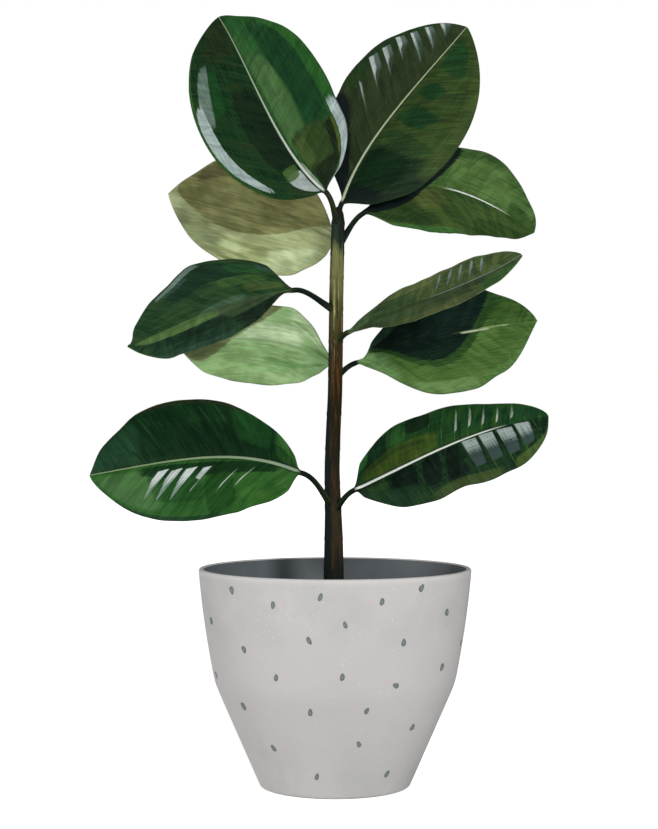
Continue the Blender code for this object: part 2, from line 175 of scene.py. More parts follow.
LEAVES = (
    Leaf(
        name="leaf_top_left",
        on_stem=(2, -2, 449),
        rib=((-7, -14, 473), (-41, -2, 515), (-69, 22, 571), (-96, 56, 625)),
        faces=(-1, -10, 3),
        left=Half(
            57, 0.51, 0.95, 0.65, 10, 24, ("0d2213", "17381d", "262c17"),
            waves=((0.12, 0.07, 3), (0.9, 0.09, 2)), vein_line=("3b5a30", 0.25),
        ),
        right=Half(
            57, 0.46, 0.5, 0.65, 10, 24, ("16351b", "234f25", "2c5228"),
            waves=((0.4, 0.1, -2.2), (0.8, 0.15, 4.6), (0.96, 0.03, -2.5)), vein_line=("4d7040", 0.2),
        ),
        midrib=Midrib("c3cabd", "87987a", 1.15),
        lateral=0.25,
        patches=(
            (-75, 0, 78, 102, "232e18", 0.65, 3, 0.4), (-42, -2, 8, 62, "101c12", 0.7, 3),
            (-75, -50, 55, 75, "1c4d22", 0.5, 3), (-105, -95.5, 12, 95, "2b5a25", 0.8, 1.6, 0.5),
            # Lighter belly beside the midrib, then a dark field, then a bright margin
            (0, 42, 66, 93, "27522a", 0.8, 4, 0.4), (33, 84, 30, 88, "16381f", 0.9, 4, 0.3, 0.15),
            (2, 34, 24, 74, "44633a", 0.9, 4, 0.3, 0.25, 0, 5), (0, 20, 70, 86, "33572f", 0.6, 4, 0.6),
            (28, 42, 34, 60, "3b5a2e", 0.5, 4, 0.6), (80, 105, 42, 97, "285823", 0.8, 3, 0.3),
            (8, 86, 4, 34, "2b3a1b", 0.88, 2.5), (10, 30, 16, 30, "44552b", 0.5, 3, 0.6),
            (12, 75, 0, 14, "131d11", 0.85, 1.6, 0.4), (66, 80, 6, 32, "10190f", 0.8, 1.6, 0.4),
            (77.5, 83, 12, 33, "4a5826", 0.7, 1.6, 0.5),
            # Window light on the wax
            (83, 102, -6, 42, "a3b0af", 0.93, 2.2, 0.2, 0.4, -1, 2),
            (-86, -67, 52, 78.5, "6f8378", 0.8, 3, 0.4, 0.6, 5),
            (-94, -79, 17, 62, "9aaaa6", 0.93, 2.2, 0.2, 0.4, -2, -2),
            (-50, -10, 3, 18, "a6b1ad", 0.88, 2.2, 0.2, 0.4, 7),
            (-42, -10, 15, 21.5, "3f5a2b", 0.95, 2.5, 0.3, 0.25, 5),
            (3, 8, 2, 20, "a9b7a8", 0.75, 2.5, 0.3, 0.4, -2),
        ),
    ),
    Leaf(
        name="leaf_top_right",
        on_stem=(3, 1, 447),
        rib=((5, 4, 465), (28, 18, 514), (65, 38, 564), (110, 68, 619)),
        faces=(-1, -10, 3),
        left=Half(
            62, 0.62, 1.1, 0.36, -12, 14, ("222d1b", "2f3c22", "37402a"), (18, 0.9, 10),
            waves=((0.5, 0.07, -2.4), (0.82, 0.12, 4)), vein_line=("46532e", 0.35),
            strips=(
                Strips(
                    4, 3, ((0.42, 0), (0.52, 0.36), (0.62, 0.66), (0.84, 0.62), (0.88, 0)),
                    "37473c", "5f716b", 0.3,
                ),
                Strips(
                    7, 3, ((0.2, 0), (0.32, 0.4), (0.5, 0.68), (0.86, 0.62), (0.92, 0)),
                    "37473c", "5f716b", 0.3,
                ),
                Strips(3, 1, ((0.26, 0), (0.42, 0.09), (0.72, 0.2), (0.8, 0)), "5c6e63", "93a5a0", 0.1),
                Strips(
                    4, 3, ((0.34, 0), (0.42, 0.07), (0.56, 0.14), (0.64, 0.32), (0.84, 0.36), (0.88, 0)),
                    "6f817a", "c0cac7", 0.4,
                ),
                Strips(
                    7, 3, ((0.16, 0), (0.26, 0.1), (0.45, 0.28), (0.86, 0.34), (0.92, 0)),
                    "6f817a", "c0cac7", 0.4,
                ),
            ),
        ),
        right=Half(
            61, 0.5, 0.5, 0.75, 6, 20, ("22321a", "31441f", "3c4f27"), (14, 0.9, 3),
            waves=((0.2, 0.08, 1.5),), vein_line=("4c5c30", 0.35),
        ),
        midrib=Midrib("b5bfa0", "a3b08a", 1.15),
        lateral=0.6,
        patches=(
            (-50, -3, 30, 95, "2a3820", 0.6, 3, 0.5), (-100, -70, 55, 98, "1f3a1c", 0.75, 2),
            # Painted shadow of the leaf in front, dark along the left half
            (-130, -26, -10, 53, "12191c", 0.97, 1.6, 0.2, 0.05, -42),
            (-5, 110, -10, 40, "1a2e1d", 0.85, 4, 0.6), (4, 68, 10, 36, "0b2312", 0.9, 5, 0.6),
            (5, 80, 20, 26, "0f2a16", 0.5, 3, 0.5, 0.25, 20),
            (10, 75, 39, 47, "18351c", 0.6, 5, 0.6, 0.25, 10),
            (12, 52, 50, 61, "11351d", 0.9, 5, 0.4, 0.25, 8),
            (12, 42, 65, 73, "12361d", 0.85, 5, 0.4, 0.25, 6), (8, 62, 79, 94, "153a1e", 0.85, 5, 0.5),
            (78, 110, 30, 90, "44572c", 0.45, 3, 0.5),
            (-20, 110, -20, 13, "101a17", 0.95, 1.6, 0.5, 0.05, -10),
            (72, 120, -10, 30, "18281a", 0.7, 1.6, 0.5),
        ),
    ),
    Leaf(
        name="leaf_upper_right",
        on_stem=(4, 0, 434),
        rib=((23, 14, 459), (63, 40, 483), (113, 72, 479), (170, 104, 451)),
        faces=(1, -9, 5),
        left=Half(
            49, 0.68, 1.0, 0.4, 4, 16, ("2f4a24", "456432", "557040"), (12, 0.7, 0),
            waves=((0.79, 0.11, 8.2), (0.95, 0.04, -3.5)), vein_line=("6b8850", 0.2),
        ),
        right=Half(
            47, 0.42, 0.5, 0.75, 10, 16, ("2b4322", "3d5529", "4c5a2c"), (12, 0.7, 0),
            waves=((0.26, 0.2, 5), (0.74, 0.07, -1.3), (0.93, 0.05, 3)), vein_line=("52693a", 0.2),
        ),
        # The pale midrib is painted white as a highlight, and shows only along part of its length
        midrib=Midrib("dfe4d8", "eef2e8", 1.4, (0.55, 0.88), 0.85),
        lateral=0.12,
        patches=(
            (-75, -8, 58, 86, "58763f", 0.7, 3, 0.5), (-105, -85, 60, 97, "3d5a30", 0.4, 1.6, 0.5),
            (5, 50, 26, 50, "515c30", 0.75, 3, 0.4), (3, 20, 50, 80, "2c4a24", 0.7, 2, 0.4),
            (30, 80, 45, 66, "2f4a24", 0.5, 3), (55, 110, 66, 98, "2a4321", 0.75, 3),
            # Painted shade near the stalk: the second patch on this row and the first on the next
            (88, 105, 2, 55, "3c6b33", 0.75, 1.6, 0.5), (60, 85, 5, 40, "20381c", 0.6, 3, 0.5),
            (-10, 75, -10, 30, "233a1d", 0.7, 3, 0.6), (-40, 40, 86, 110, "2d471f", 0.8),
            # Painted shadow of the leaf above: a dark crescent along its edge
            (-100, -26, -5, 66, "11191c", 0.97, 0.8, 0.14, 0.05, -52, 50),
        ),
    ),
    Leaf(
        name="leaf_upper_left",
        on_stem=(1, 2, 424),
        rib=((1, 16, 437), (-41, 50, 454), (-92, 84, 470), (-142, 112, 485)),
        faces=(1, 10, 2),
        left=Half(48, 0.5, 1.1, 0.9, 8, 16, ("2f4a2b", "42613a", "3c5531"), waves=((0.85, 0.08, -3.5),)),
        right=Half(
            48, 0.48, 0.7, 0.75, 8, 16, ("2f4a2b", "42613a", "3c5531"),
            waves=((0.35, 0.1, -1.5), (0.16, 0.06, -2), (0.84, 0.08, 1.2)),
        ),
        under=("8c9568", "a0aa7c", "b0bb8e"),
        midrib=Midrib("6f7248", "7b7f54", 0.7, strength=0.1),
        lateral=0.1,
        patches=(
            (15, 110, 64, 92, "6d7a4f", 0.6, 4, 0.6), (45, 95, 12, 42, "b7c79b", 0.6, 4, 0.7),
            (30, 75, 55, 74, "b3c090", 0.6, 4, 0.7), (50, 90, 40, 56, "8b9461", 0.5, 4, 0.6),
            (86, 93, 45, 95, "6f7a48", 0.7, 1.6, 0.5), (74, 80, 50, 85, "78834f", 0.6, 1.6, 0.5),
            (45, 52, 30, 85, "77804f", 0.55, 1.6, 0.5, 0.25, 0, 8),
            (45, 100, 68, 95, "87926a", 0.65, 4, 0.6),
            # The shade of the leaf above
            (-200, -1, 6, 95, "75774a", 0.96, 0.4, 0.06, 0.1, 25, 35),
            (-120, 0, 10, 50, "6f7045", 0.5, 3, 0.6), (-40, 30, 55, 80, "84865a", 0.6, 3, 0.6),
            (-95, -60, 64, 84, "544e36", 0.7, 3, 0.5), (-110, -35, 4, 60, "5f5e3c", 0.5, 3, 0.5),
            (-20, -12, 12, 50, "55563a", 0.45, 1.6, 0.5, 0.25, -8),
            (2, 8, 30, 66, "5b5c3c", 0.4, 1.6, 0.5, 0.25, 0, 6),
        ),
    ),
    Leaf(
        name="leaf_middle_left",
        on_stem=(0, -1, 380),
        rib=((-33, -20, 395), (-77, -54, 384), (-116, -88, 366), (-154, -118, 348)),
        faces=(-3, -15, 14),
        left=Half(
            46, 0.64, 0.9, 0.4, 20, 20, ("13241a", "22402a", "2d4a2a"), waves=((0.94, 0.06, 8.5),),
            vein_line=("2f4f2c", 0.2),
        ),
        right=Half(
            47, 0.36, 0.42, 1.2, 16, 16, ("17301c", "254527", "35492a"),
            waves=((0.15, 0.1, 3), (0.33, 0.12, 6.6), (0.63, 0.15, -3.5), (0.9, 0.06, 2.5)),
            vein_line=("3a5a30", 0.2),
        ),
        midrib=Midrib("4b6a41", "5a7548", 0.7, strength=0.35),
        lateral=0.12,
        patches=(
            (50, 88, 12, 62, "193223", 0.85, 3), (55, 80, 6, 24, "27522b", 0.7, 3, 0.2, 0.25, 5),
            (30, 50, 10, 34, "3b5a2e", 0.75, 3), (10, 30, 4, 24, "4a5d31", 0.65, 3),
            (5, 45, 34, 72, "2b4427", 0.5, 4), (45, 75, 62, 92, "1a3820", 0.6, 3),
            (-12, 10, 26, 56, "4b6650", 0.75, 2.5, 0.4, 0.25, -3),
            (-32, 2, 46, 96, "608047", 0.9, 2.5, 0.35),
            (-110, -52, -6, 50, "14221a", 0.85, 5, 0.4, 0.35, -6),
            (-60, 0, -4, 50, "4b6040", 0.85, 5, 0.5, 0.4), (-50, -32, 16, 50, "22321e", 0.4, 5, 0.5, 0.4),
            (-90, -50, 56, 82, "1d3c26", 0.6, 3), (-62, -38, 50, 85, "12261a", 0.7, 4, 0.4, 0.4),
            (-105, -85, 55, 97, "33503f", 0.6, 1.6, 0.4),
            # Painted highlights: along the upper margin, a dimmer streak inside it, and one at the base
            (87, 96, 33, 67, "73897f", 0.85, 3, 0.4, 0.55, -2),
            (78, 86, 44, 62, "3c584e", 0.6, 3, 0.5, 0.5), (66, 86, 2, 10, "435852", 0.7, 3, 0.4, 0.4),
        ),
    ),
    Leaf(
        name="leaf_middle_right",
        on_stem=(1, -1, 354),
        rib=((10, -10, 362), (51, -42, 379), (97, -74, 396), (140, -100, 417)),
        faces=(1, -10, 14),
        left=Half(
            37, 0.48, 0.7, 0.7, 16, 20, ("334529", "485932", "5a693d"), (10.5, -0.15, 4),
            waves=((0.24, 0.08, 3.6), (0.42, 0.04, -1.4), (0.66, 0.12, 2.4)),
            strips=(
                Strips(
                    8, 5, ((0.12, 0), (0.25, 0.2), (0.5, 0.34), (0.75, 0.28), (0.88, 0)),
                    "62767a", "869999", 0.3,
                ),
            ),
        ),
        right=Half(
            34, 0.55, 0.9, 0.7, 10, 20, ("2b3d25", "3f5231", "505934"), (10.5, 0.4, 4),
            waves=((0.21, 0.1, -6.5), (0.88, 0.05, 1.5)),
        ),
        midrib=Midrib("3a4a2c", "98a8a4", 1.0, (0.5, 2), 0.85),
        lateral=0.1,
        patches=(
            (-75, 60, -5, 42, "374e2e", 0.8, 4, 0.2, 0.25, 10),
            (-110, 110, -12, 14, "48613b", 0.85, 3, 0.5), (-98, -55, 20, 50, "6c7b4b", 0.75, 3, 0.4),
            (-50, -20, 36, 50, "526138", 0.6, 4, 0.5), (30, 70, 10, 45, "45603b", 0.6, 3),
            (-105, -75, 2, 22, "385c33", 0.7, 1.6, 0.4), (75, 110, 50, 78, "5d5f3c", 0.5, 3, 0.4),
            (5, 50, 50, 85, "414d32", 0.5, 3), (-105, -86, 50, 97, "5c7242", 0.6, 1.6, 0.4),
            (30, 110, 80, 98, "34572f", 0.7),
        ),
    ),
    Leaf(
        name="leaf_middle_left_back",
        on_stem=(1, 2, 330),
        rib=((-1, 14, 337), (-37, 48, 355), (-84, 82, 361), (-132, 110, 353)),
        faces=(1, 10, 2),
        left=Half(
            29, 0.5, 1.4, 0.6, 8, 16, ("3a5c33", "4d7343", "466a3d"),
            waves=((0.14, 0.05, -2.3), (0.33, 0.07, 3)),
        ),
        right=Half(
            41, 0.58, 0.75, 0.6, 8, 16, ("3a5c33", "4d7343", "466a3d"),
            waves=((0.08, 0.04, 2.2), (0.18, 0.1, 3.6), (0.62, 0.12, -1.6), (0.92, 0.06, 3.5)),
        ),
        under=("799d65", "8faf7b", "a0bb8d"),
        midrib=Midrib("7ea368", "86aa70", 0.8, strength=0.15),
        lateral=0.04,
        patches=(
            (10, 110, 22, 110, "7d9c66", 0.75, 4, 0.6), (-50, 5, 26, 62, "b3c7a0", 0.75, 4, 0.6),
            (-100, -45, 12, 34, "b9d0a2", 0.75, 4, 0.6), (-70, -60, 10, 36, "7fa468", 0.7, 1.6, 0.5),
            (36, 50, 6, 50, "6b975b", 0.8, 3, 0.4, 0.25, 0, 8),
            (15, 22, 20, 75, "7fa56c", 0.7, 1.6, 0.5, 0.25, 0, 5),
            (55, 66, 30, 80, "77a065", 0.6, 1.6, 0.5, 0.25, 0, 5),
            (40, 110, 66, 92, "7c9c64", 0.6, 4, 0.6), (70, 95, 30, 50, "8ead7a", 0.5, 4, 0.6),
            # The shade of the leaf in front
            (-220, 16, 30, 130, "646d47", 0.96, 0.6, 0.08, 0.1, 130, 19),
            (-220, 0, 30, 130, "4f5a39", 0.6, 1.5, 0.4, 0.25, 130, 19),
        ),
    ),
    Leaf(
        name="leaf_middle_right_back",
        on_stem=(1, 1, 327),
        rib=((16, 12, 338), (60, 34, 354), (112, 62, 366), (171, 90, 375)),
        faces=(0, -10, 4),
        left=Half(
            42, 0.64, 1.3, 0.6, 8, 16, ("2d471f", "415f2c", "4d6a36"),
            waves=((0.15, 0.08, 3), (0.87, 0.06, -2.3)),
            vein_line=("5e7f45", 0.2),
        ),
        right=Half(
            53, 0.52, 1.1, 0.95, 8, 16, ("395628", "4a6932", "56733c"),
            waves=((0.13, 0.06, -3), (0.31, 0.08, 1.3), (0.7, 0.07, -2.5)), vein_line=("608147", 0.2),
        ),
        midrib=Midrib("5a7d44", "8aa86a", 0.7, (0.6, 0.92), 0.4),
        lateral=0.15,
        patches=(
            (78, 105, 24, 60, "709158", 0.6, 5, 0.6), (84, 105, 62, 90, "598147", 0.45, 4, 0.6),
            (-15, 110, -12, 20, "648954", 0.85, 3, 0.5), (-120, 50, -15, 13, "83ad6c", 0.9, 2, 0.4),
            (25, 70, 16, 50, "45652e", 0.45, 4), (10, 60, 72, 95, "41602d", 0.55, 4, 0.5),
            (-80, 2, 68, 96, "334f22", 0.65, 4, 0.5), (-105, -80, 78, 100, "2c4a26", 0.75, 1.6, 0.4),
            (-2, 30, 60, 80, "5d7d41", 0.6, 3, 0.5),
            # The shade of the leaf above, green at its rim and nearly black inside
            (-190, -38, 10, 87, "25421f", 0.9, 1, 0.14, 0.1, -20, 89),
            (-190, -48, 13, 83, "0f1e1b", 0.96, 1.2, 0.12, 0.1, -20, 87),
            (-110, -60, 12, 36, "2f4d3a", 0.85, 3, 0.5, 0.25, -5),
            (12, 30, 26, 54, "16301f", 0.3, 3, 0.5, 0.25, 0, 6),
            # A painted highlight on the midrib: a bright dash, then a dimmer one
            (0, 4, 62, 76, "cfdbbc", 0.85, 3, 0.5, 0.75), (-3, 2, 72, 86, "93ad74", 0.7, 3, 0.5, 0.6),
        ),
    ),
    Leaf(
        name="leaf_lower_left",
        on_stem=(-1, -1, 222),
        rib=((-27, -24, 251), (-78, -54, 264), (-131, -82, 261), (-184, -104, 252)),
        faces=(0, -10, 4),
        left=Half(
            50, 0.58, 0.42, 0.6, 8, 20, ("214a1e", "2d5a26", "35602d"), (12.5, 1.25, 10),
            waves=((0.1, 0.14, 4), (0.35, 0.06, 1), (0.95, 0.05, -2)),
            strips=(
                Strips(
                    6, 3, ((0.13, 0), (0.16, 0.72), (0.3, 0.66), (0.46, 0.4), (0.62, 0.16), (0.68, 0)),
                    "ccd3d0", "7f9186", 0.3,
                ),
                Strips(
                    5, 1, ((0.14, 0), (0.17, 0.56), (0.32, 0.5), (0.37, 0)),
                    "c4ccc8", "a9b5ae", 0.1,
                ),
                Strips(5, 1, ((0.3, 0), (0.34, 0.11), (0.5, 0.14), (0.56, 0)), "a9b8a8", "93a792", 0.1),
                Strips(
                    2, 2, ((0.16, 0), (0.22, 0.1), (0.45, 0.19), (0.64, 0)),
                    "98aa96", "a9b8a8", 0.3,
                ),
            ),
        ),
        right=Half(
            50, 0.5, 0.8, 0.85, 8, 20, ("0a2010", "102e17", "18381c"), (12.5, 0.35, 4),
            waves=((0.2, 0.08, -2.2), (0.45, 0.25, 1), (0.81, 0.06, -2.2), (0.93, 0.04, 1.5)),
            vein_line=("2f5c33", 0.5),
        ),
        midrib=Midrib("8d9d86", "7c926b", 1.35),
        lateral=0.8,
        patches=(
            (-85, -10, 72, 97, "456b3d", 0.85, 3, 0.4),
            (-25, -2, 10, 78, "112c17", 0.92, 2, 0.2, 0.1, 0, -6),
            (-95, -30, 36, 52, "1a4119", 0.85, 3, 0.2, 0.25, -8), (-70, -15, 52, 76, "1c4420", 0.7, 3),
            (-80, -30, 20, 34, "356327", 0.6, 3), (-105, -93, 45, 92, "15301f", 0.8, 3, 0.5),
            (-105, -70, -5, 30, "3c6a2c", 0.6, 2, 0.4), (-80, -5, -8, 13, "3a6630", 0.6, 3, 0.5),
            (10, 110, -10, 14, "33602a", 0.85, 3), (5, 95, 74, 108, "20402a", 0.75, 4, 0.4),
            (2, 60, 0, 74, "0b2411", 0.6, 4, 0.6), (30, 90, 50, 66, "0c2614", 0.6, 4),
            (30, 100, 16, 32, "1d4a22", 0.65, 4), (92, 105, 25, 70, "262b1c", 0.85, 1.6, 0.3),
        ),
    ),
    Leaf(
        name="leaf_lower_right",
        on_stem=(-1, -1, 219),
        rib=((15, -18, 237), (62, -46, 261), (108, -74, 282), (160, -98, 296)),
        faces=(1, -9, 5),
        left=Half(
            36, 0.39, 0.5, 0.6, 0, 20, ("11301a", "1f4421", "2a451c"), (12, 0.08, 2),
            waves=((0.23, 0.16, 7.8), (0.5, 0.09, 2.6), (0.76, 0.13, -2.6)), vein_line=("4f7a35", 0.45),
            strips=(
                Strips(
                    8, 5, ((0.22, 0), (0.3, 0.2), (0.5, 0.24), (0.75, 0.16), (0.88, 0)),
                    "aab5ac", "7e8f82", 0.35,
                ),
            ),
        ),
        right=Half(
            45, 0.6, 0.5, 0.35, 10, 20, ("0d1d15", "18301c", "234023"), (15.3, 0.45, -4.1),
            waves=((0.22, 0.1, 2.8), (0.57, 0.12, -6), (0.9, 0.07, 3.2)), vein_line=("4a7030", 0.5),
            strips=(
                Strips(
                    7, 4, ((0.03, 0), (0.05, 0.84), (0.3, 0.8), (0.52, 0.74), (0.64, 0.66), (0.67, 0)),
                    "9aa8a3", "394846", 0.14,
                ),
            ),
        ),
        midrib=Midrib("f4f6f2", "d5dccf", 1.25, (-1, 0.82)),
        lateral=0.55,
        patches=(
            (-50, -4, 6, 46, "46571e", 0.7, 5, 0.5, 0.5),
            (-40, -28, 8, 40, "22371a", 0.6, 5, 0.5, 0.4, 0, -6), (-105, -62, 30, 43, "101f13", 0.85, 2),
            (-95, -45, 7, 20, "10291b", 0.8, 3), (-105, -60, -2, 9, "2d6a35", 0.75, 3, 0.4),
            (-90, -50, 22, 30, "2a5a2a", 0.6, 3), (-80, -20, 85, 100, "1c3f26", 0.6),
            (5, 66, 20, 34, "0a1813", 0.85, 2), (5, 70, 37, 47, "0a1712", 0.85, 2),
            (5, 75, 50, 57, "0a1611", 0.85, 2), (50, 105, 2, 34, "203c24", 0.75, 3, 0.4),
            (80, 105, 40, 78, "43532a", 0.65, 3, 0.4), (20, 50, 4, 18, "304d26", 0.5, 4, 0.5),
            (75, 105, 85, 102, "44592b", 0.8, 1.6, 0.4),
        ),
    ),
)

# The stem in mm, from the root end to the growing tip: height, x of its centre, and radius
STEM_STATIONS = mm(
    [
        (96, 0, 7.6), (150, -1, 8.4), (190, -1, 7.6), (222, -1.5, 6.6), (252, -2.4, 6.1),
        (284, -1.4, 5.9), (312, 0, 5.8), (352, 0.6, 5.8), (392, 1, 5.7), (428, 1.9, 5.6),
        (450, 2.5, 5.3), (457, 2.6, 4.4), (461, 2.7, 2.8), (463, 2.7, 1.2),
    ]
)
OLD_LEAF_SCARS = (172, 196, 241, 268, 296, 405)  # mm, heights where leaves once grew

# The brushed marks on the pot's front: degrees round from the front, mm up, degrees leaning right
BRUSHED_MARKS = (
    (-47, 163, -15), (-26, 154, 8), (-6, 161, 20), (19, 157, 12), (37, 166, 35),
    (-67, 136, 28), (54, 145, -35), (4, 140, -18), (-11, 128, -25), (-43, 118, -25),
    (30, 125, 3), (76, 117, 8), (56, 102, 20), (-73, 92, -20), (-27, 98, 18),
    (3, 100, 8), (28, 92, -65), (-51, 72, -8), (-12, 72, 8), (15, 73, 18),
    (45, 56, 0), (-38, 40, -30), (13, 46, -25), (-12, 19, 20), (36, 19, 22),
)
BACK_MARKS_TURN = 170  # degrees from a mark on the front to its fellow on the back

POT_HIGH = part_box("pot")[1]


# ---------------------------------------------------------------- settings


def a_length(name, description, metres):
    return FloatProperty(name=name, description=description, default=metres, unit="LENGTH")


def a_colour(name, description, hex_colour):
    return FloatVectorProperty(
        name=name, description=description, default=linear(hex_colour)[:3], subtype="COLOR", min=0, max=1
    )


def an_amount(name, description, default):
    return FloatProperty(name=name, description=description, default=default, min=0)


def a_number(name, description, default):
    return IntProperty(name=name, description=description, default=default, min=0)


class PotSettings(bpy.types.PropertyGroup):
    height: a_length("Height", "From the underside to the top of the lip", POT_HIGH.z)
    lip_radius: a_length("Lip radius", "Outside of the lip", POT_HIGH.x)
    belly_radius: a_length("Belly radius", "Pull of the bowl's curve between lip and shoulder", 0.1055)
    belly_height: a_length("Belly height", "Height of that pull", 0.13)
    shoulder_radius: a_length("Shoulder radius", "Where the bowl turns into the cone", 0.096)
    shoulder_height: a_length("Shoulder height", "Height of that turn", 0.083)
    foot_radius: a_length("Foot radius", "The cone's lower end", 0.057)
    wall: a_length("Wall", "Thickness of the wall", 0.0044)
    floor: a_length("Floor", "Thickness of the floor", 0.008)
    glaze: a_colour("Glaze", "Main colour outside", "bebbba")
    shade: a_colour("Glaze shade", "Cooler clouds in the glaze", "b0b2b1")
    inside: a_colour("Inside", "Slate slip inside the pot", "60666b")
    ink: a_colour("Marks", "Colour of the brushed marks", "65706f")
    mark_length: a_length("Mark length", "Length of a brushed mark", 0.006)
    mark_width: a_length("Mark width", "Width of a brushed mark", 0.0034)


class SoilSettings(bpy.types.PropertyGroup):
    level: a_length("Level", "Height of the soil at its edge", 0.15)
    mound: a_length("Mound", "Rise of the soil at the stem", 0.0026)
    crumbs: a_number("Crumbs", "Number of peat crumbs on top", 520)
    perlite: a_number("Perlite", "Number of perlite grains on top", 110)
    chips: a_number("Bark chips", "Number of bark chips on top", 70)
    peat: a_colour("Peat", "Colour of the soil", "33291f")


class StemSettings(bpy.types.PropertyGroup):
    young: a_colour("Young wood", "Colour near the top", "6c7045")
    old: a_colour("Old wood", "Colour near the soil", "241f14")
    scar_height: a_length("Scar height", "How far a leaf scar's ring stands out", 0.00016)


class LeafSettings(bpy.types.PropertyGroup):
    thickness: a_length("Thickness", "Of the blade", 0.0009)
    rib_depth: a_length("Rib depth", "How far the midrib stands out underneath, at its base", 0.0015)
    quilting: a_length("Quilting", "How far the blade swells between side veins", 0.0004)
    margin_wave: a_length("Margin wave", "How far the margin rises and falls", 0.0003)
    stalk_radius: a_length("Stalk radius", "Of a leaf's stalk", 0.0021)
    stalk_flare: a_length("Stalk flare", "How much a stalk widens at the stem", 0.0013)
    gloss: FloatProperty(
        name="Roughness",
        description="Roughness of the waxy upper side",
        default=0.52,
        min=0,
        max=1,
        subtype="FACTOR",
    )


class StageSettings(bpy.types.PropertyGroup):
    floor: a_colour("Floor", "Colour of the floor", "f0efee")
    key: an_amount("Key light", "Power of the main softbox in watts", 50)
    top: an_amount("Top light", "Power of the overhead softbox in watts", 6)
    fill: an_amount("Fill light", "Power of the wide softbox on the left in watts", 40)
    sky: an_amount("Room light", "Strength of the even light from the room", 0.14)
    glow: an_amount("Floor glow", "How much the floor is lit from below", 0.74)


# ---------------------------------------------------------------- hands on Blender's tools


def deselect_all():
    if bpy.context.object and bpy.context.object.mode != "OBJECT":
        bpy.ops.object.mode_set(mode="OBJECT")
    bpy.ops.object.select_all(action="DESELECT")


def started(name, primitive, **settings):
    """A new primitive or light of this name, on its own."""
    deselect_all()
    primitive(**settings)
    bpy.context.object.name = name
    return bpy.context.object


def edit(obj):
    """Opens the object, all of it selected, for edit-mode tools."""
    deselect_all()
    bpy.context.view_layer.objects.active = obj
    obj.select_set(True)
    bpy.ops.object.mode_set(mode="EDIT")
    bpy.ops.mesh.select_all(action="SELECT")


def close(obj, weld=1e-7):
    """Merges the seam, fills any open ring, turns the faces outwards and leaves edit mode."""
    edit(obj)
    bpy.ops.mesh.remove_doubles(threshold=weld)
    bpy.ops.mesh.select_all(action="DESELECT")
    bpy.ops.mesh.select_non_manifold()
    bpy.ops.mesh.fill_holes(sides=0)
    bpy.ops.mesh.select_all(action="SELECT")
    bpy.ops.mesh.normals_make_consistent(inside=False)
    bpy.ops.object.mode_set(mode="OBJECT")
    bpy.ops.object.shade_smooth()


def points_of(obj):
    points = np.empty(len(obj.data.vertices) * 3)
    obj.data.vertices.foreach_get("co", points)
    return points.reshape(-1, 3)


def move_points(obj, points):
    obj.data.vertices.foreach_set("co", np.asarray(points, float).ravel())
    obj.data.update()


def keep(obj, name, values):
    """Stores a number or a vector for every point under this name, for the material to read."""
    values = np.asarray(values, float)
    kind, field = ("FLOAT", "value") if values.ndim == 1 else ("FLOAT_VECTOR", "vector")
    obj.data.attributes.new(name, kind, "POINT").data.foreach_set(field, values.ravel())


def hand_over(piece, slot, material, *nodes):
    """Gives a finished piece's mesh its name and the piece its material, and lets it stand for these CAD
    nodes. The slot is not used.
    """
    piece.data.name = piece.name
    piece.data.materials.clear()
    piece.data.materials.append(material)
    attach(piece, "root")
    if nodes:
        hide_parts(*nodes)


def check_fits(piece, node):
    """Stops if the piece leaves its CAD node's box by more than 3% of a side and 10 mm."""
    low, high = (np.array(corner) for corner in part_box(node))
    points = points_of(piece)
    room = 0.03 * (high - low) + 0.01
    if (points.min(0) < low - room).any() or (points.max(0) > high + room).any():
        raise RuntimeError(f"{piece.name} is larger than {node}")


def swept(name, sections, kept):
    """A closed piece through rings of points: a grid's rows are laid on the rings and its sides merged.

    sections is rings x points x 3, and kept holds values for the same points."""
    rings, count = sections.shape[:2]
    sections = np.concatenate([sections, sections[:, :1]], axis=1)
    grid = bpy.ops.mesh.primitive_grid_add
    obj = started(name, grid, x_subdivisions=rings - 1, y_subdivisions=count, size=2)
    flat = points_of(obj)
    ring = np.rint((flat[:, 0] + 1) / 2 * (rings - 1)).astype(int)
    place = np.rint((flat[:, 1] + 1) / 2 * count).astype(int)
    move_points(obj, sections[ring, place])
    for key, values in kept.items():
        values = np.concatenate([values, values[:, :1]], axis=1)
        keep(obj, key, values[ring, place])
    close(obj)
    return obj


def turned(name, profile, steps, sides=None):
    """A piece turned about Z from (radius, height) points that start and end on the axis."""
    circle = bpy.ops.mesh.primitive_circle_add
    obj = started(name, circle, vertices=len(profile), radius=0.05, fill_type="NOTHING")
    move_points(obj, [(radius, 0, height) for radius, height in profile])
    if sides is not None:
        keep(obj, "inner_side", sides)
    edit(obj)
    bpy.ops.mesh.select_all(action="DESELECT")
    bpy.ops.object.mode_set(mode="OBJECT")
    last = len(profile) - 1
    for edge in obj.data.edges:
        edge.select = set(edge.vertices) == {0, last}
    bpy.ops.object.mode_set(mode="EDIT")
    bpy.ops.mesh.select_mode(type="EDGE")
    bpy.ops.mesh.delete(type="EDGE")
    bpy.ops.mesh.select_mode(type="VERT")
    bpy.ops.mesh.select_all(action="SELECT")
    bpy.ops.mesh.spin(steps=steps, angle=2 * math.pi, center=(0, 0, 0), axis=(0, 0, 1))
    close(obj, weld=1e-6)
    return obj


def joined(name, pieces):
    deselect_all()
    for piece in pieces:
        piece.select_set(True)
    bpy.context.view_layer.objects.active = pieces[0]
    bpy.ops.object.join()
    obj = bpy.context.object
    obj.name = name
    bpy.ops.object.shade_smooth()
    return obj


def copy_of(pattern, place):
    """A copy with its own mesh, moved by this matrix."""
    copy = pattern.copy()
    copy.data = pattern.data.copy()
    copy.data.transform(place)
    bpy.context.scene.collection.objects.link(copy)
    return copy


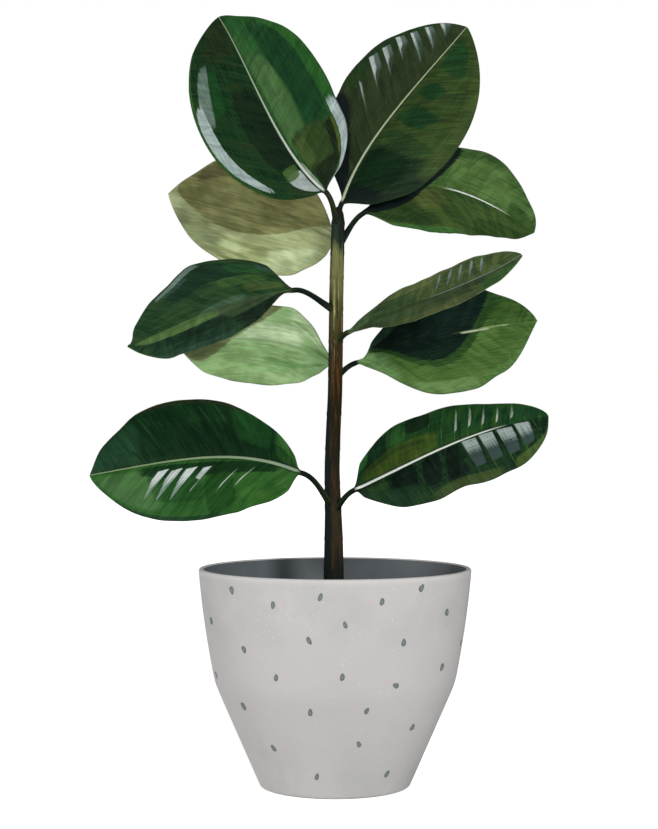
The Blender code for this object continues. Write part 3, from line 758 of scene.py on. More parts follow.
# ---------------------------------------------------------------- materials


def ramp_colour(value):
    """A number as grey, a hex colour as linear, and a linear colour as it is."""
    if isinstance(value, str):
        return linear(value)
    return (value, value, value, 1) if isinstance(value, (int, float)) else value


def add_node(tree, kind, *values, out=0, stops=(), **settings):
    """Adds a node with its settings, a ramp's stops, and its inputs' links, values or hex colours in order.

    A stop is a place and a colour or number. Gives this output, by place or name, or all when out is None."""
    node = tree.nodes.new("ShaderNode" + kind)
    for name, value in settings.items():
        setattr(node, name, value)
    for index, (place, colour) in enumerate(stops):
        elements = node.color_ramp.elements
        element = elements[index] if index < len(elements) else elements.new(1)
        element.position = min(max(place, 0), 1)
        element.color = ramp_colour(colour)
    for socket, value in zip([socket for socket in node.inputs if socket.enabled], values):
        if isinstance(value, bpy.types.NodeSocket):
            tree.links.new(value, socket)
        elif value is not None:
            socket.default_value = linear(value) if isinstance(value, str) else value
    outputs = [socket for socket in node.outputs if socket.enabled]
    return outputs if out is None else node.outputs[out] if isinstance(out, str) else outputs[out]


def new_material(name):
    """A material, what adds a node to it, and its shader."""
    material = bpy.data.materials.new(name)
    material.use_nodes = True
    tree = material.node_tree
    return material, partial(add_node, tree), tree.nodes["Principled BSDF"]


def drawn(add, over, tint, *factors):
    """A tint drawn over a colour, as strongly as all these factors together, and that strength."""
    amount, *others = factors
    for factor in others:
        amount = add("Math", amount, factor, operation="MULTIPLY")
    return add("Mix", amount, over, tint, data_type="RGBA"), amount


def tinted(add, colour, *tints):
    """Lays tints over a colour. Each is a colour, then the numbers it follows, each with its ramp's stops."""
    for tint, *ramps in tints:
        ramps = [add("ValToRGB", source, stops=stops) for source, stops in ramps]
        colour, _ = drawn(add, colour, tint, *ramps)
    return colour


def finish(add, shader, colour, grain, rough, depth, **sockets):
    """Gives the shader its colour, roughness, relief and uniform values.

    The roughness comes ready or as a ramp's stops along the grain, and the relief is the grain's, this many
    metres deep."""
    if not isinstance(rough, bpy.types.NodeSocket):
        rough = add("ValToRGB", grain, stops=rough)
    relief = add("Bump", 1.0, depth, None, grain)
    for name, socket in (("Base Color", colour), ("Roughness", rough), ("Normal", relief)):
        shader.id_data.links.new(socket, shader.inputs[name])
    for name, value in sockets.items():
        shader.inputs[name.replace("_", " ")].default_value = value


def per_mm(size):
    """How many of these, each this many millimetres, go in a metre."""
    return 1000 / size


def glazed_stoneware(pot):
    """Satin-glazed stoneware: soft warm grey with cooler clouds, fine pale scratches and pinprick specks."""
    material, add, shader = new_material("satin glazed stoneware")
    place = add("TexCoord", out="Object")
    share = add("Math", add("SeparateXYZ", place, out=2), pot.height, operation="DIVIDE")
    clouds = add("TexNoise", place, per_mm(48), 3, 0.6)
    cloth = add("TexNoise", place, per_mm(9), 4, 0.65)
    # Scratches about 0.4 mm wide and 8 mm long, in two directions, where a broad cloud allows
    worn = add("TexNoise", place, per_mm(38), 1, 0.5)
    scratches = [
        add("TexNoise", add("Mapping", place, None, (0, turn, 0), (2.4, 2.4, 0.16)), per_mm(1.1), 2, 0.55)
        for turn in (0.35, -0.9)
    ]
    specks = add("TexVoronoi", place, per_mm(7), out="Distance")
    mottle = add("TexNoise", place, per_mm(30), 3, 0.55)
    slate = tinted(add, [*pot.inside, 1], ("53595d", (mottle, ((0.4, 0), (0.65, 0.5)))))
    inner = add("Attribute", attribute_name="inner_side", out="Fac")
    # The cooler clouds are thickest under the lip and round the foot, and fewest on the belly
    cloudy = ((0.06, 0.7), (0.34, 0.1), (0.66, 0.08), (0.82, 0.65), (0.96, 0.5))
    colour = tinted(
        add,
        [*pot.glaze, 1],
        ([*pot.shade, 1], (clouds, ((0.42, 0), (0.6, 1))), (share, cloudy)),
        ("b6b2b0", (cloth, ((0.42, 0), (0.75, 0.22)))),
        ("cfccca", (share, ((0.968, 0), (0.99, 0.45)))),  # a wiped, paler edge at the lip
        *(
            ("e0dedc", (lines, ((0.66, 0), (0.73, 0.8))), (worn, ((0.5, 0), (0.62, 1))))
            for lines in scratches
        ),
        ("e6e4e2", (specks, ((0.045, 0.8), (0.075, 0)))),
        (slate, (inner, ((0.45, 0), (0.55, 1)))),
    )
    finish(add, shader, colour, cloth, ((0.3, 0.55), (0.8, 0.7)), 0.00012, IOR=1.5, Specular_IOR_Level=0.28)
    return material


def iron_wash(pot):
    """Iron-blue wash put on with a brush tip: darkest where it pooled round the mark's edge."""
    material, add, shader = new_material("brushed iron wash")
    pooled = add("Attribute", attribute_name="pooled", out="Fac")
    mottle = add("TexNoise", add("TexCoord", out="Object"), per_mm(1.3), 3, 0.55)
    edge = add("Math", mottle, 0.4, pooled, operation="MULTIPLY_ADD")
    thin = [0.84 * ink + 0.16 * glaze for ink, glaze in zip(pot.ink, pot.glaze)]
    colour = tinted(add, [*thin, 1], ([*pot.ink, 1], (edge, ((0.5, 0), (0.85, 1)))))
    finish(add, shader, colour, mottle, ((0.3, 0.5), (0.7, 0.65)), 0.00008, IOR=1.5, Specular_IOR_Level=0.25)
    return material


def peat(soil):
    """Peat-based potting soil: dark brown, crumbly and matt, with damp and dry lumps and paler fibres."""
    material, add, shader = new_material("peat potting soil")
    place = add("TexCoord", out="Object")
    lumps = add("TexNoise", place, per_mm(5), 5, 0.7)
    fibres = add("TexNoise", add("Mapping", place, None, None, (1, 0.2, 1)), per_mm(0.9), 2, 0.55)
    colour = tinted(
        add,
        [*soil.peat, 1],
        ("1c150f", (lumps, ((0.35, 0.9), (0.6, 0)))),
        ("4d3d2c", (lumps, ((0.6, 0), (0.75, 0.6)))),
        ("6d5a42", (fibres, ((0.68, 0), (0.74, 0.7)))),
    )
    finish(add, shader, colour, lumps, ((0.2, 0.95), (0.8, 0.8)), 0.0012, Specular_IOR_Level=0.25)
    return material


def perlite():
    """Expanded perlite: chalk-white, porous grains."""
    material, add, shader = new_material("expanded perlite")
    pores = add("TexNoise", add("TexCoord", out="Object"), per_mm(0.8), 3, 0.55)
    colour = tinted(add, "dedad2", ("a39d92", (pores, ((0.45, 0), (0.7, 0.7)))))
    finish(add, shader, colour, pores, ((0.3, 0.85), (0.7, 0.95)), 0.0003, Specular_IOR_Level=0.3)
    return material


def pine_bark():
    """Composted pine bark chips: red-brown, flaky and matt."""
    material, add, shader = new_material("composted pine bark")
    stretched = add("Mapping", add("TexCoord", out="Object"), None, None, (0.4, 1, 1.5))
    flakes = add("TexNoise", stretched, per_mm(1.6), 4, 0.55)
    colour = tinted(add, "33231a", ("6b4a31", (flakes, ((0.35, 0), (0.65, 1)))))
    finish(add, shader, colour, flakes, ((0.3, 0.8), (0.7, 0.92)), 0.0005, Specular_IOR_Level=0.25)
    return material


def young_bark(stem):
    """Young fig bark: smooth olive above, furrowed brown below, with rusty streaks, and painted shade, bluish
    black, on its left side.
    """
    material, add, shader = new_material("rubber plant bark")
    place = add("TexCoord", out="Object")
    x, _, z = add("SeparateXYZ", place, out=None)
    stretched = add("Mapping", place, None, None, (1, 1, 0.07))
    streak = add("TexNoise", stretched, per_mm(2.0), 4, 0.65)
    broad = add("TexNoise", stretched, per_mm(5.5), 2, 0.55)
    # Bands of colour from just above the soil to the growing tip, with ragged borders
    height = add("Math", add("Math", broad, 0.09, -0.045, operation="MULTIPLY_ADD"), z, operation="ADD")
    share = add("MapRange", height, 0.17, 0.47, 0.0, 1.0)
    bands = (
        (0.0, "151d1a"), (0.1, "332f20"), (0.3, [*stem.old, 1]), (0.4, "211e0b"), (0.48, "211c0c"),
        (0.6, "2b2715"), (0.7, "4d4a2a"), (0.78, "6c6d43"), (0.86, [*stem.young, 1]), (0.905, "28342a"),
        (1.0, "0f1817"),
    )
    # Rust where the old skin has split, pale olive where the young skin stretches
    old_skin = ((0.05, 0.45), (0.3, 0.7), (0.5, 0.8), (0.7, 0.4), (0.8, 0))
    young_skin = ((0.5, 0), (0.7, 1), (0.87, 1), (0.9, 0))
    colour = tinted(
        add,
        add("ValToRGB", share, stops=bands),
        ("5c3a1c", (streak, ((0.53, 0), (0.6, 0.9))), (share, old_skin)),
        ("a2a06b", (streak, ((0.36, 0.95), (0.46, 0))), (share, young_skin)),
        ("1a1c14", (broad, ((0.55, 0), (0.62, 0.8)))),
    )
    # Painted shade: the left side is nearly black with a blue cast
    lean = add("Math", streak, 0.007, -0.0035, operation="MULTIPLY_ADD")
    for shift in (x, add("MapRange", share, 0.3, 0.5, -0.0013, 0.0)):
        lean = add("Math", shift, lean, operation="ADD")
    colour, _ = drawn(add, colour, "0f1918", add("MapRange", lean, -0.0055, -0.0028, 0.95, 0.0))
    finish(add, shader, colour, streak, ((0.3, 0.65), (0.7, 0.85)), 0.0005, Specular_IOR_Level=0.06)
    return material


# How the brushed mixture of a leaf turns from its darkest green to its lightest, and a patch's colour with it
GREEN_STOPS = (0.43, 0.515, 0.59)
PATCH_STOPS = ((0.43, 0.68), (0.515, 1), (0.58, 1.32))
VEIN_GAP = 0.13  # the share of the veins' spacing that a strip of painted sheen leaves bare beside its vein


def brushed_area(add, share, bristle, skips, patch):
    """Where a brushed patch lies: its strength inside, with an edge that the bristles break."""
    # Across, the blade's own share goes from 0 to 1 and a patch's places from -100 to 100
    across, along = (patch.left + patch.right) / 400 + 0.5, (patch.start + patch.end) / 200
    half_across, half_along = (patch.right - patch.left) / 400, (patch.end - patch.start) / 200
    inverse = (1 / half_across, 1 / half_along, 0)
    centre = (-across / half_across, -along / half_along, 0)
    spot = add("VectorMath", share, inverse, centre, operation="MULTIPLY_ADD")
    if patch.lean or patch.bow:
        x, y, _ = add("SeparateXYZ", spot, out=None)
        # x - lean y - bow (1 - y²), in half widths of the patch
        lean, bow = patch.lean / 200 / half_across, patch.bow / 200 / half_across
        shift = add("Math", y, bow, -lean, operation="MULTIPLY_ADD")
        shift = add("Math", shift, y, -bow, operation="MULTIPLY_ADD")
        spot = add("CombineXYZ", add("Math", x, shift, operation="ADD"), y)
    # x⁴ + y⁴ gives it full, rounded corners
    squares = add("VectorMath", spot, spot, operation="MULTIPLY")
    away = add("VectorMath", squares, squares, operation="DOT_PRODUCT", out="Value")
    away = add("Math", bristle, patch.ragged, away, operation="MULTIPLY_ADD")
    edge = 1 + 0.5 * patch.ragged
    limits = (edge + patch.soft, edge - patch.soft, 0.0, patch.strength)
    area = add("MapRange", away, *limits, interpolation_type="SMOOTHSTEP")
    covered = add("Math", skips, -patch.dry, 1.0, operation="MULTIPLY_ADD")
    return add("Math", area, covered, operation="MULTIPLY")


def painted_sheen_strips(add, strips, count, out, fine, seed):
    """Where painted highlights of sheen lie between the side veins, from 0 to 0.95, and their colour there.
    """
    which = add("Math", add("Math", count, operation="FLOOR"), seed, operation="ADD")
    chance = add("TexWhiteNoise", which, noise_dimensions="1D")
    # Each strip starts a little further out or in than its neighbour, and is wider or narrower
    shifted = add("Math", chance, 0.3 * strips.vary, -0.15 * strips.vary, operation="MULTIPLY_ADD")
    width = add("ValToRGB", add("Math", out, shifted, operation="ADD"), stops=strips.widths)
    scale = add("Math", chance, -strips.vary, 1 + 0.4 * strips.vary, operation="MULTIPLY_ADD")
    width = add("Math", width, scale, operation="MULTIPLY")
    edge = add("Math", fine, 0.3, add("Math", count, operation="FRACT"), operation="MULTIPLY_ADD")
    inside = add("Math", width, add("Math", edge, VEIN_GAP, operation="SUBTRACT"), operation="SUBTRACT")
    mask = add("MapRange", inside, 0.0, 0.07, 0.0, 0.95)
    begun = add("MapRange", edge, VEIN_GAP, VEIN_GAP + 0.05, 0.0, 1.0)
    between = add("Math", count, strips.first + strips.count / 2, strips.count / 2, operation="COMPARE")
    for factor in (begun, between):
        mask = add("Math", mask, factor, operation="MULTIPLY")
    reached = [place for place, _ in strips.widths]
    fading = add("MapRange", out, reached[1], reached[-2], 0.0, 1.0)
    fading = add("Math", fine, 0.8, add("Math", fading, 0.4, operation="SUBTRACT"), operation="MULTIPLY_ADD")
    return mask, add("ValToRGB", fading, stops=((0.25, strips.near), (0.6, strips.far)))


def with_midrib(add, seen, rib, along, out_mm):
    """The blade's colour with its midrib: palest and widest at its base, with a dark line of painted shade
    along each side of it.
    """
    rib_width = add("Math", along, -0.7 * rib.half_width, rib.half_width, operation="MULTIPLY_ADD")
    rib_place = add("Math", out_mm, rib_width, operation="DIVIDE")
    begun = add("MapRange", along, rib.seen[0] - 0.04, rib.seen[0] + 0.04, 0.0, 1.0)
    not_over = add("MapRange", along, rib.seen[1] - 0.1, rib.seen[1], 1.0, 0.0)
    # First a line of painted shade beside the rib, then the rib's pale line over it
    for reach, tones, full in (
        (2.4, ("17251a", "17251a"), 0.5 * rib.strength),
        (1.0, (rib.base, rib.tip), rib.strength),
    ):
        limits = (reach - 0.25, reach + 0.2, full, 0.0)
        line = add("MapRange", rib_place, *limits, interpolation_type="SMOOTHSTEP")
        tone = add("ValToRGB", along, stops=[*zip((0.05, 0.7), tones)])
        seen, _ = drawn(add, seen, tone, line, begun, not_over)
    return seen


def waxy_leaf(leaf, settings):
    """Rubber plant leaf: leathery and waxed above, in brushed greens with a pale midrib, and matt below."""
    material, add, shader = new_material(f"waxy {leaf.name.replace('_', ' ')}")
    share = add("Attribute", attribute_name="leaf_share", out="Vector")
    side, along, upper = add("SeparateXYZ", share, out=None)
    place = add("Attribute", attribute_name="leaf_place", out="Vector")
    across_mm, along_mm, stalk = add("SeparateXYZ", place, out=None)
    out_mm = add("Math", across_mm, operation="ABSOLUTE")
    out = add("Math", add("Math", side, 2.0, -1.0, operation="MULTIPLY_ADD"), operation="ABSOLUTE")
    on_right = add("Math", side, 0.5, operation="GREATER_THAN")
    on_half = [add("Math", on_right, float(right), operation="COMPARE") for right in (0, 1)]
    halves = (leaf.left, leaf.right)
    seed = LEAVES.index(leaf) * 7.3
    seen_from_below = leaf.faces[1] > 0

    def strokes(first, first_mm, second, second_mm, detail=4.0):
        """Brush strokes of this width and length in millimetres."""
        first = add("Math", first, first_mm, operation="DIVIDE")
        second = add("Math", second, second_mm, operation="DIVIDE")
        return add("TexNoise", add("CombineXYZ", first, second, seed), 1.0, detail, 0.62)

    lengthwise = strokes(across_mm, 1.6, along_mm, 30)
    broad = strokes(across_mm, 12, along_mm, 34, 2.0)
    bristles = strokes(across_mm, 0.62, along_mm, 20, 3.0)
    counts, runs = [], []
    for half in halves:
        spacing, slant, first = half.veins
        runs.append(add("Math", out_mm, -slant, along_mm, operation="MULTIPLY_ADD"))
        counts.append(add("Math", runs[-1], 1 / spacing, -first / spacing, operation="MULTIPLY_ADD"))
    run = add("Mix", on_right, *runs)
    sideways = strokes(run, 2.2, across_mm, 22)
    hairs = strokes(run, 0.7, across_mm, 18, 3.0)
    # Single dabs of the brush, 4.2 mm wide and 15 mm long, each a tone of its own
    crooked = add("Math", add("Math", broad, 5.0, run, operation="MULTIPLY_ADD"), 4.2, operation="DIVIDE")
    crooked = add("CombineXYZ", crooked, add("Math", across_mm, 15.0, operation="DIVIDE"), seed)
    dab = add("SeparateXYZ", add("TexVoronoi", crooked, 1.0, out="Color"))
    brushed = add("Mix", leaf.lateral, lengthwise, sideways)
    fine = add("Mix", leaf.lateral, bristles, hairs)
    # The shares of bristle, stroke, broad stroke and dab. The underside is put on wetter, with broad strokes
    parts = (0.2, 0.3, 0.5, 0.0) if seen_from_below else (0.45, 0.3, 0.15, 0.1)
    mixed = 0.0
    for layer, part in zip((fine, brushed, broad, dab), parts):
        mixed = add("Math", layer, part, mixed, operation="MULTIPLY_ADD")
    skips = add("MapRange", fine, 0.5, 0.62, 0.0, 1.0)

    left, right, under = (
        add("ValToRGB", mixed, stops=[*zip(GREEN_STOPS, tones)])
        for tones in (leaf.left.tones, leaf.right.tones, leaf.under)
    )
    colour = add("Mix", on_right, left, right, data_type="RGBA")
    seen = under if seen_from_below else colour

    if not seen_from_below:
        # The side veins are fine pale lines, about 0.5 mm wide
        faint = add("MapRange", broad, 0.42, 0.58, 0.1, 1.0)
        for half, count, on_this in zip(halves, counts, on_half):
            vein_colour, full = half.vein_line
            beside = add("Math", count, 0.5, operation="PINGPONG")
            line = add("MapRange", beside, 0.1 / half.veins[0], 0.6 / half.veins[0], full, 0.0)
            seen, _ = drawn(add, seen, vein_colour, line, on_this, faint)
    for row in leaf.patches:
        patch = Patch(*row)
        # Each patch keeps some of the dabs' light and dark
        *tone, alpha = linear(patch.colour)
        stops = [(at, [light * c for c in tone] + [alpha]) for at, light in PATCH_STOPS]
        area = brushed_area(add, share, fine, skips, patch)
        seen, _ = drawn(add, seen, add("ValToRGB", mixed, stops=stops), area)

    # The strips of sheen are highlights painted over the colour
    painted_sheen = None
    unskipped = add("Math", skips, -0.6, 1.0, operation="MULTIPLY_ADD")
    for half, count, on_this in zip(halves, counts, on_half):
        for strips in half.strips:
            mask, tone = painted_sheen_strips(add, strips, count, out, fine, seed)
            seen, mask = drawn(add, seen, tone, mask, on_this, unskipped)
            painted_sheen = mask if painted_sheen is None else add("Math", painted_sheen, mask, operation="ADD", use_clamp=True)

    seen = with_midrib(add, seen, leaf.midrib, along, out_mm)
    # A thin margin, darker than the blade
    seen, _ = drawn(add, seen, "1f3b1f", add("MapRange", out, 0.975, 0.99, 0.0, 0.5))

    under, colour = (seen, colour) if seen_from_below else (under, seen)
    colour = add("Mix", add("MapRange", upper, 0.4, 0.6, 0.0, 1.0), under, colour, data_type="RGBA")
    stalk_tone = add("ValToRGB", lengthwise, stops=((0.45, "111b17"), (0.62, "2a331c")))
    colour = add("Mix", add("MapRange", stalk, 0.3, 0.8, 0.0, 1.0), colour, stalk_tone, data_type="RGBA")

    # Where sheen is painted the surface is also smoother, and the underside matt
    rough = add("Math", brushed, 0.16, settings.gloss - 0.08, operation="MULTIPLY_ADD")
    if painted_sheen is not None:
        rough = add("Math", painted_sheen, -0.1, rough, operation="MULTIPLY_ADD")
    rough = add("Math", rough, add("MapRange", upper, 0.4, 0.6, 0.22, 0.0), operation="ADD")
    finish(add, shader, colour, brushed, rough, 0.00025, IOR=1.45, Specular_IOR_Level=0.045)
    return material


def pale_floor(stage):
    """A white acrylic sweep, lit a little from below so that it reads as clean white."""
    material, add, shader = new_material("white acrylic sheet")
    place = add("TexCoord", out="Object")
    haze = add("TexNoise", place, 1.5, 2, 0.55)
    colour = tinted(add, [*stage.floor, 1], ("eae9e8", (haze, ((0.4, 0), (0.7, 0.3)))))
    satin = ((0.3, 0.65), (0.7, 0.75))
    finish(add, shader, colour, haze, satin, 0.00001, Specular_IOR_Level=0.1, Emission_Color=(1, 1, 1, 1))
    # The glow whitens the sheet for the eye and lights nothing. It grows with distance, so no horizon shows
    away = add("VectorMath", place, operation="LENGTH", out="Value")
    glow = add("MapRange", away, 0.3, 2.5, stage.glow, 1.1)
    glow = add("Math", glow, add("LightPath", out="Is Camera Ray"), operation="MULTIPLY")
    shader.id_data.links.new(glow, shader.inputs["Emission Strength"])
    return material


# ---------------------------------------------------------------- the pot


FOOT_STEPS = 10  # facets of the rounded edge of the foot
SHOULDER_WEAR = 14  # how many times the wall's points are averaged with their neighbours


def arc(centre, radius, start, end, steps):
    """Points (radius, height) on an arc between two angles in degrees, 0 being outwards and 90 up."""
    angles = np.radians(np.linspace(start, end, steps + 1))
    return np.array(centre) + radius * np.stack([np.cos(angles), np.sin(angles)], -1)


def pot_outside(pot):
    """The outside below the lip, top to bottom, with the shoulder worn soft."""
    lip = np.array((pot.lip_radius, pot.height - pot.wall / 2))
    belly = np.array((pot.belly_radius, pot.belly_height))
    shoulder = np.array((pot.shoulder_radius, pot.shoulder_height))
    s = np.linspace(0, 1, 61)[:, None]
    upper = (1 - s) ** 2 * lip + 2 * s * (1 - s) * belly + s**2 * shoulder
    foot_round = mm(4)
    cone_angle = math.degrees(math.atan2(pot.shoulder_height, pot.shoulder_radius - pot.foot_radius)) - 90
    foot = arc((pot.foot_radius, foot_round), foot_round, cone_angle, -90, FOOT_STEPS)
    cone = np.linspace(shoulder, foot[0], 41)[1:-1]
    return np.concatenate([smooth(np.concatenate([upper, cone]), SHOULDER_WEAR), foot])


def pot_inside(outside, pot):
    """The hollow from the lip down to the middle of the floor, a wall's thickness inside the outside."""
    wall = outside[: -FOOT_STEPS - 1]
    along = unit(np.gradient(wall, axis=0))
    inside = wall + pot.wall * np.stack([along[:, 1], -along[:, 0]], -1)
    corner_round = mm(9)
    inside = inside[inside[:, 1] > pot.floor + corner_round + mm(2)]
    slope = (inside[-1] - inside[-2]) / (inside[-1] - inside[-2])[1]
    corner = inside[-1] + slope * (pot.floor + corner_round - inside[-1][1])
    floor_corner = arc((corner[0] - corner_round, corner[1]), corner_round, 0, -90, 8)
    return np.concatenate([inside, floor_corner, [(0, pot.floor)]])


class RUBBER_PLANT_OT_pot(bpy.types.Operator):
    """Turns the pot: a bowl over a cone, in one line from the floor's middle over the lip to the foot"""

    bl_idname = "rubber_plant.pot"
    bl_label = "Turn the pot"

    def execute(self, context):
        pot = context.scene.rubber_plant_pot
        outside = pot_outside(pot)
        inside = pot_inside(outside, pot)
        lip = arc((outside[0] + inside[0]) / 2, np.linalg.norm(outside[0] - inside[0]) / 2, 180, 0, 14)[1:-1]
        profile = np.concatenate([inside[::-1], lip, outside, [(0, 0)]])
        profile[:, 1] = np.minimum(profile[:, 1], pot.height)
        # The slate slip runs two points up the lip
        sides = (np.arange(len(profile)) < len(inside) + 2).astype(float)
        piece = turned("glazed_pot", profile, steps=180, sides=sides)
        check_fits(piece, "pot")
        hand_over(piece, "pot_ceramic", glazed_stoneware(pot), "pot")
        return {"FINISHED"}


def laid_on_pot(wall, degrees, height, offsets):
    """Points at (mm right, mm up, mm out) from a place on the pot's outside, bent to its surface."""
    right, up, out = mm(offsets).T
    heights = wall[::-1, 1]
    radius = np.interp(height + up, heights, wall[::-1, 0])
    steep = np.gradient(wall[::-1, 0]) / np.gradient(heights)
    lean = np.interp(height + up, heights, steep)
    flat = 1 / np.sqrt(1 + lean**2)
    angle = math.radians(degrees) + right / radius
    radius = radius + out * flat
    return np.stack([radius * np.sin(angle), -radius * np.cos(angle), height + up - out * lean * flat], -1)


class RUBBER_PLANT_OT_marks(bpy.types.Operator):
    """Brushes the short marks on the pot, all round"""

    bl_idname = "rubber_plant.marks"
    bl_label = "Brush the pot's marks"

    def execute(self, context):
        pot = context.scene.rubber_plant_pot
        wall = pot_outside(pot)
        rng = np.random.default_rng(4)
        marks = []
        ball = bpy.ops.mesh.primitive_uv_sphere_add
        pattern = started("mark_pattern", ball, segments=20, ring_count=12, radius=0.5)
        x, y, z = points_of(pattern).T * 2
        reach = np.hypot(x, y)
        keep(pattern, "pooled", np.clip(reach, 0, 1))
        rows = list(BRUSHED_MARKS)
        rows += [(angle * 0.97 + BACK_MARKS_TURN, height - 2, -lean) for angle, height, lean in BRUSHED_MARKS]
        for angle, height, lean in rows:
            size = rng.uniform(0.9, 1.1, 2)
            # The brush was laid flatter towards the pot's sides, which made wider marks
            sideways = abs((angle + 90) % 180 - 90)
            size[1] *= min(1 / math.cos(math.radians(sideways)), 1.6)
            # Wider at the foot of the stroke, where the brush was lifted
            taper = 1 + rng.uniform(-0.16, 0.16) * y
            # Half sizes in millimetres
            length, width = size * (pot.mark_length * 500, pot.mark_width * 500)
            wobble = 1 + 0.06 * np.sin(3 * np.arctan2(y, x) + rng.uniform(0, 6))
            right, up = x * width * taper * wobble, y * length * wobble
            turn = math.radians(lean)
            across = right * math.cos(turn) + up * math.sin(turn)
            rise = up * math.cos(turn) - right * math.sin(turn)
            crest = 0.1 + 0.1 * np.exp(-(((reach - 0.75) / 0.2) ** 2))
            out = np.where(z > 0, z * crest, z * 0.3)
            mark = copy_of(pattern, Matrix.Identity(4))
            offsets = np.stack([across, rise, out], -1)
            move_points(mark, laid_on_pot(wall, angle, float(mm(height)), offsets))
            marks.append(mark)
        bpy.data.objects.remove(pattern)
        hand_over(joined("pot_brush_marks", marks), "pot_ceramic", iron_wash(pot))
        return {"FINISHED"}


# ---------------------------------------------------------------- the soil

SOIL_CLEARANCE = mm(0.25)  # between the soil and the pot's wall
STEM_CLEARANCE = 0.0105  # from the stem's middle to the nearest crumb


def soil_height(x, y, soil):
    """The soil's surface: a low mound with lumps."""
    radius = math.hypot(x, y)
    lump = noise.fractal(Vector((x, y, 0.3)) * 90, 0.8, 2.1, 4) * 0.0011
    return soil.level + soil.mound * max(0, 1 - radius / 0.09) + lump


def scattered(name, count, sizes, flat, edge, soil, rng):
    """Bits between two sizes in mm, as flat as this, lying on the soil inside the edge, as one piece."""
    pattern = started("bit_pattern", bpy.ops.mesh.primitive_ico_sphere_add, subdivisions=1, radius=0.5)
    edit(pattern)
    bpy.ops.mesh.bevel(offset=0.09, segments=1)
    bpy.ops.object.mode_set(mode="OBJECT")
    bits = []
    while len(bits) < count:
        radius, angle = edge * math.sqrt(rng.uniform(0.008, 0.97)), rng.uniform(0, 2 * math.pi)
        x, y = radius * math.cos(angle), radius * math.sin(angle)
        size = mm(rng.uniform(*sizes) * rng.uniform(0.6, 1))
        if radius + size > edge or radius < STEM_CLEARANCE + size:
            continue
        stretch = Matrix.Diagonal((*(rng.uniform(0.6, 1, 2) * size), rng.uniform(0.7, 1) * flat * size, 1))
        turn = Matrix.Rotation(rng.uniform(0, 6.28), 4, "Z") @ Matrix.Rotation(rng.uniform(-0.5, 0.5), 4, "X")
        place = Matrix.Translation((x, y, soil_height(x, y, soil) + size * flat * 0.2))
        bits.append(copy_of(pattern, place @ turn @ stretch))
    bpy.data.objects.remove(pattern)
    return joined(name, bits)


class RUBBER_PLANT_OT_soil(bpy.types.Operator):
    """Fills the pot with potting soil, with crumbs, perlite and bark chips on top"""

    bl_idname = "rubber_plant.soil"
    bl_label = "Fill in the soil"

    def execute(self, context):
        pot, soil = context.scene.rubber_plant_pot, context.scene.rubber_plant_soil
        hollow = pot_inside(pot_outside(pot), pot)
        edge = np.interp(soil.level, hollow[::-1, 1], hollow[::-1, 0]) - SOIL_CLEARANCE
        top = [(radius, soil.level) for radius in np.linspace(0, edge, 64)]
        below = hollow[hollow[:, 1] < soil.level - mm(1)] + [-SOIL_CLEARANCE, mm(0.3)]
        below[-1, 0] = 0
        below[:, 0] = np.maximum(below[:, 0], 0)
        piece = turned("peat_potting_soil", np.concatenate([top, below]), steps=200)
        points = points_of(piece)
        for point in points:
            if point[2] > soil.level - 1e-5:
                point[2] = soil_height(point[0], point[1], soil)
        move_points(piece, points)
        check_fits(piece, "potting_soil")
        hand_over(piece, "soil", peat(soil), "potting_soil")

        rng = np.random.default_rng(11)
        for name, count, sizes, flat, material in (
            ("peat_crumbs", soil.crumbs, (0.9, 3.2), 0.75, peat(soil)),
            ("perlite_grains", soil.perlite, (0.8, 2.0), 0.85, perlite()),
            ("bark_chips", soil.chips, (2.2, 5.0), 0.3, pine_bark()),
        ):
            hand_over(scattered(name, count, sizes, flat, edge, soil, rng), "soil", material)
        return {"FINISHED"}


# ---------------------------------------------------------------- the stem


class RUBBER_PLANT_OT_stem(bpy.types.Operator):
    """Grows the woody stem, with a ring at each leaf and each old leaf scar"""

    bl_idname = "rubber_plant.stem"
    bl_label = "Grow the stem"

    def execute(self, context):
        stem = context.scene.rubber_plant_stem
        heights, centres, radii = STEM_STATIONS.T
        rings, sides = 420, 72
        z = heights[0] + (heights[-1] - heights[0]) * (1 - (1 - np.linspace(0, 1, rings)) ** 1.15)
        x = smooth(np.interp(z, heights, centres), 60)
        radius = np.interp(z, heights, radii)
        radius[: rings - 30] = smooth(radius, 60)[: rings - 30]
        radius = np.maximum(smooth(radius, 3), mm(0.2))
        for place in (*(leaf.on_stem[2] for leaf in LEAVES), *OLD_LEAF_SCARS):
            away = (z * 1000 - place - 1.5) / 1.7
            radius += stem.scar_height * (np.exp(-(away**2)) - 0.7 * np.exp(-((away + 1.7) ** 2) * 3))
        angle = np.linspace(0, 2 * math.pi, sides, endpoint=False)
        zz, aa = z[:, None], angle[None]
        drift = np.sin(zz * 70) * 1.2 + np.sin(zz * 23)
        furrow = np.sin(7 * aa + drift) * 0.5
        furrow = furrow + np.sin(13 * aa - 1.7 * drift + 1) * 0.35 + np.sin(5 * aa + zz * 160) * 0.25
        low = np.clip((0.34 - zz) / 0.16, 0.15, 1)
        r = radius[:, None] + mm(0.16) * furrow * low
        sections = np.stack([x[:, None] + r * np.cos(aa), r * np.sin(aa), np.broadcast_to(zz, r.shape)], -1)
        piece = swept("woody_stem", sections, {})
        check_fits(piece, "stem")
        hand_over(piece, "bark", young_bark(stem), "stem")
        return {"FINISHED"}


# ---------------------------------------------------------------- the leaves

BLADE_RINGS = 168
STALK_RINGS = 26
HALF_COLUMNS = 36
BLADE_START = 0.045  # the share of the midrib along which the round stalk flattens into the blade
SHOULDER_POWER = 0.45  # how full the outline is between its base and its tip
TIP_HALF_WIDTH = 1.2  # mm
STALK_HALF_WIDTH = 2.0  # mm, as far as the brushed grain on the stalk goes


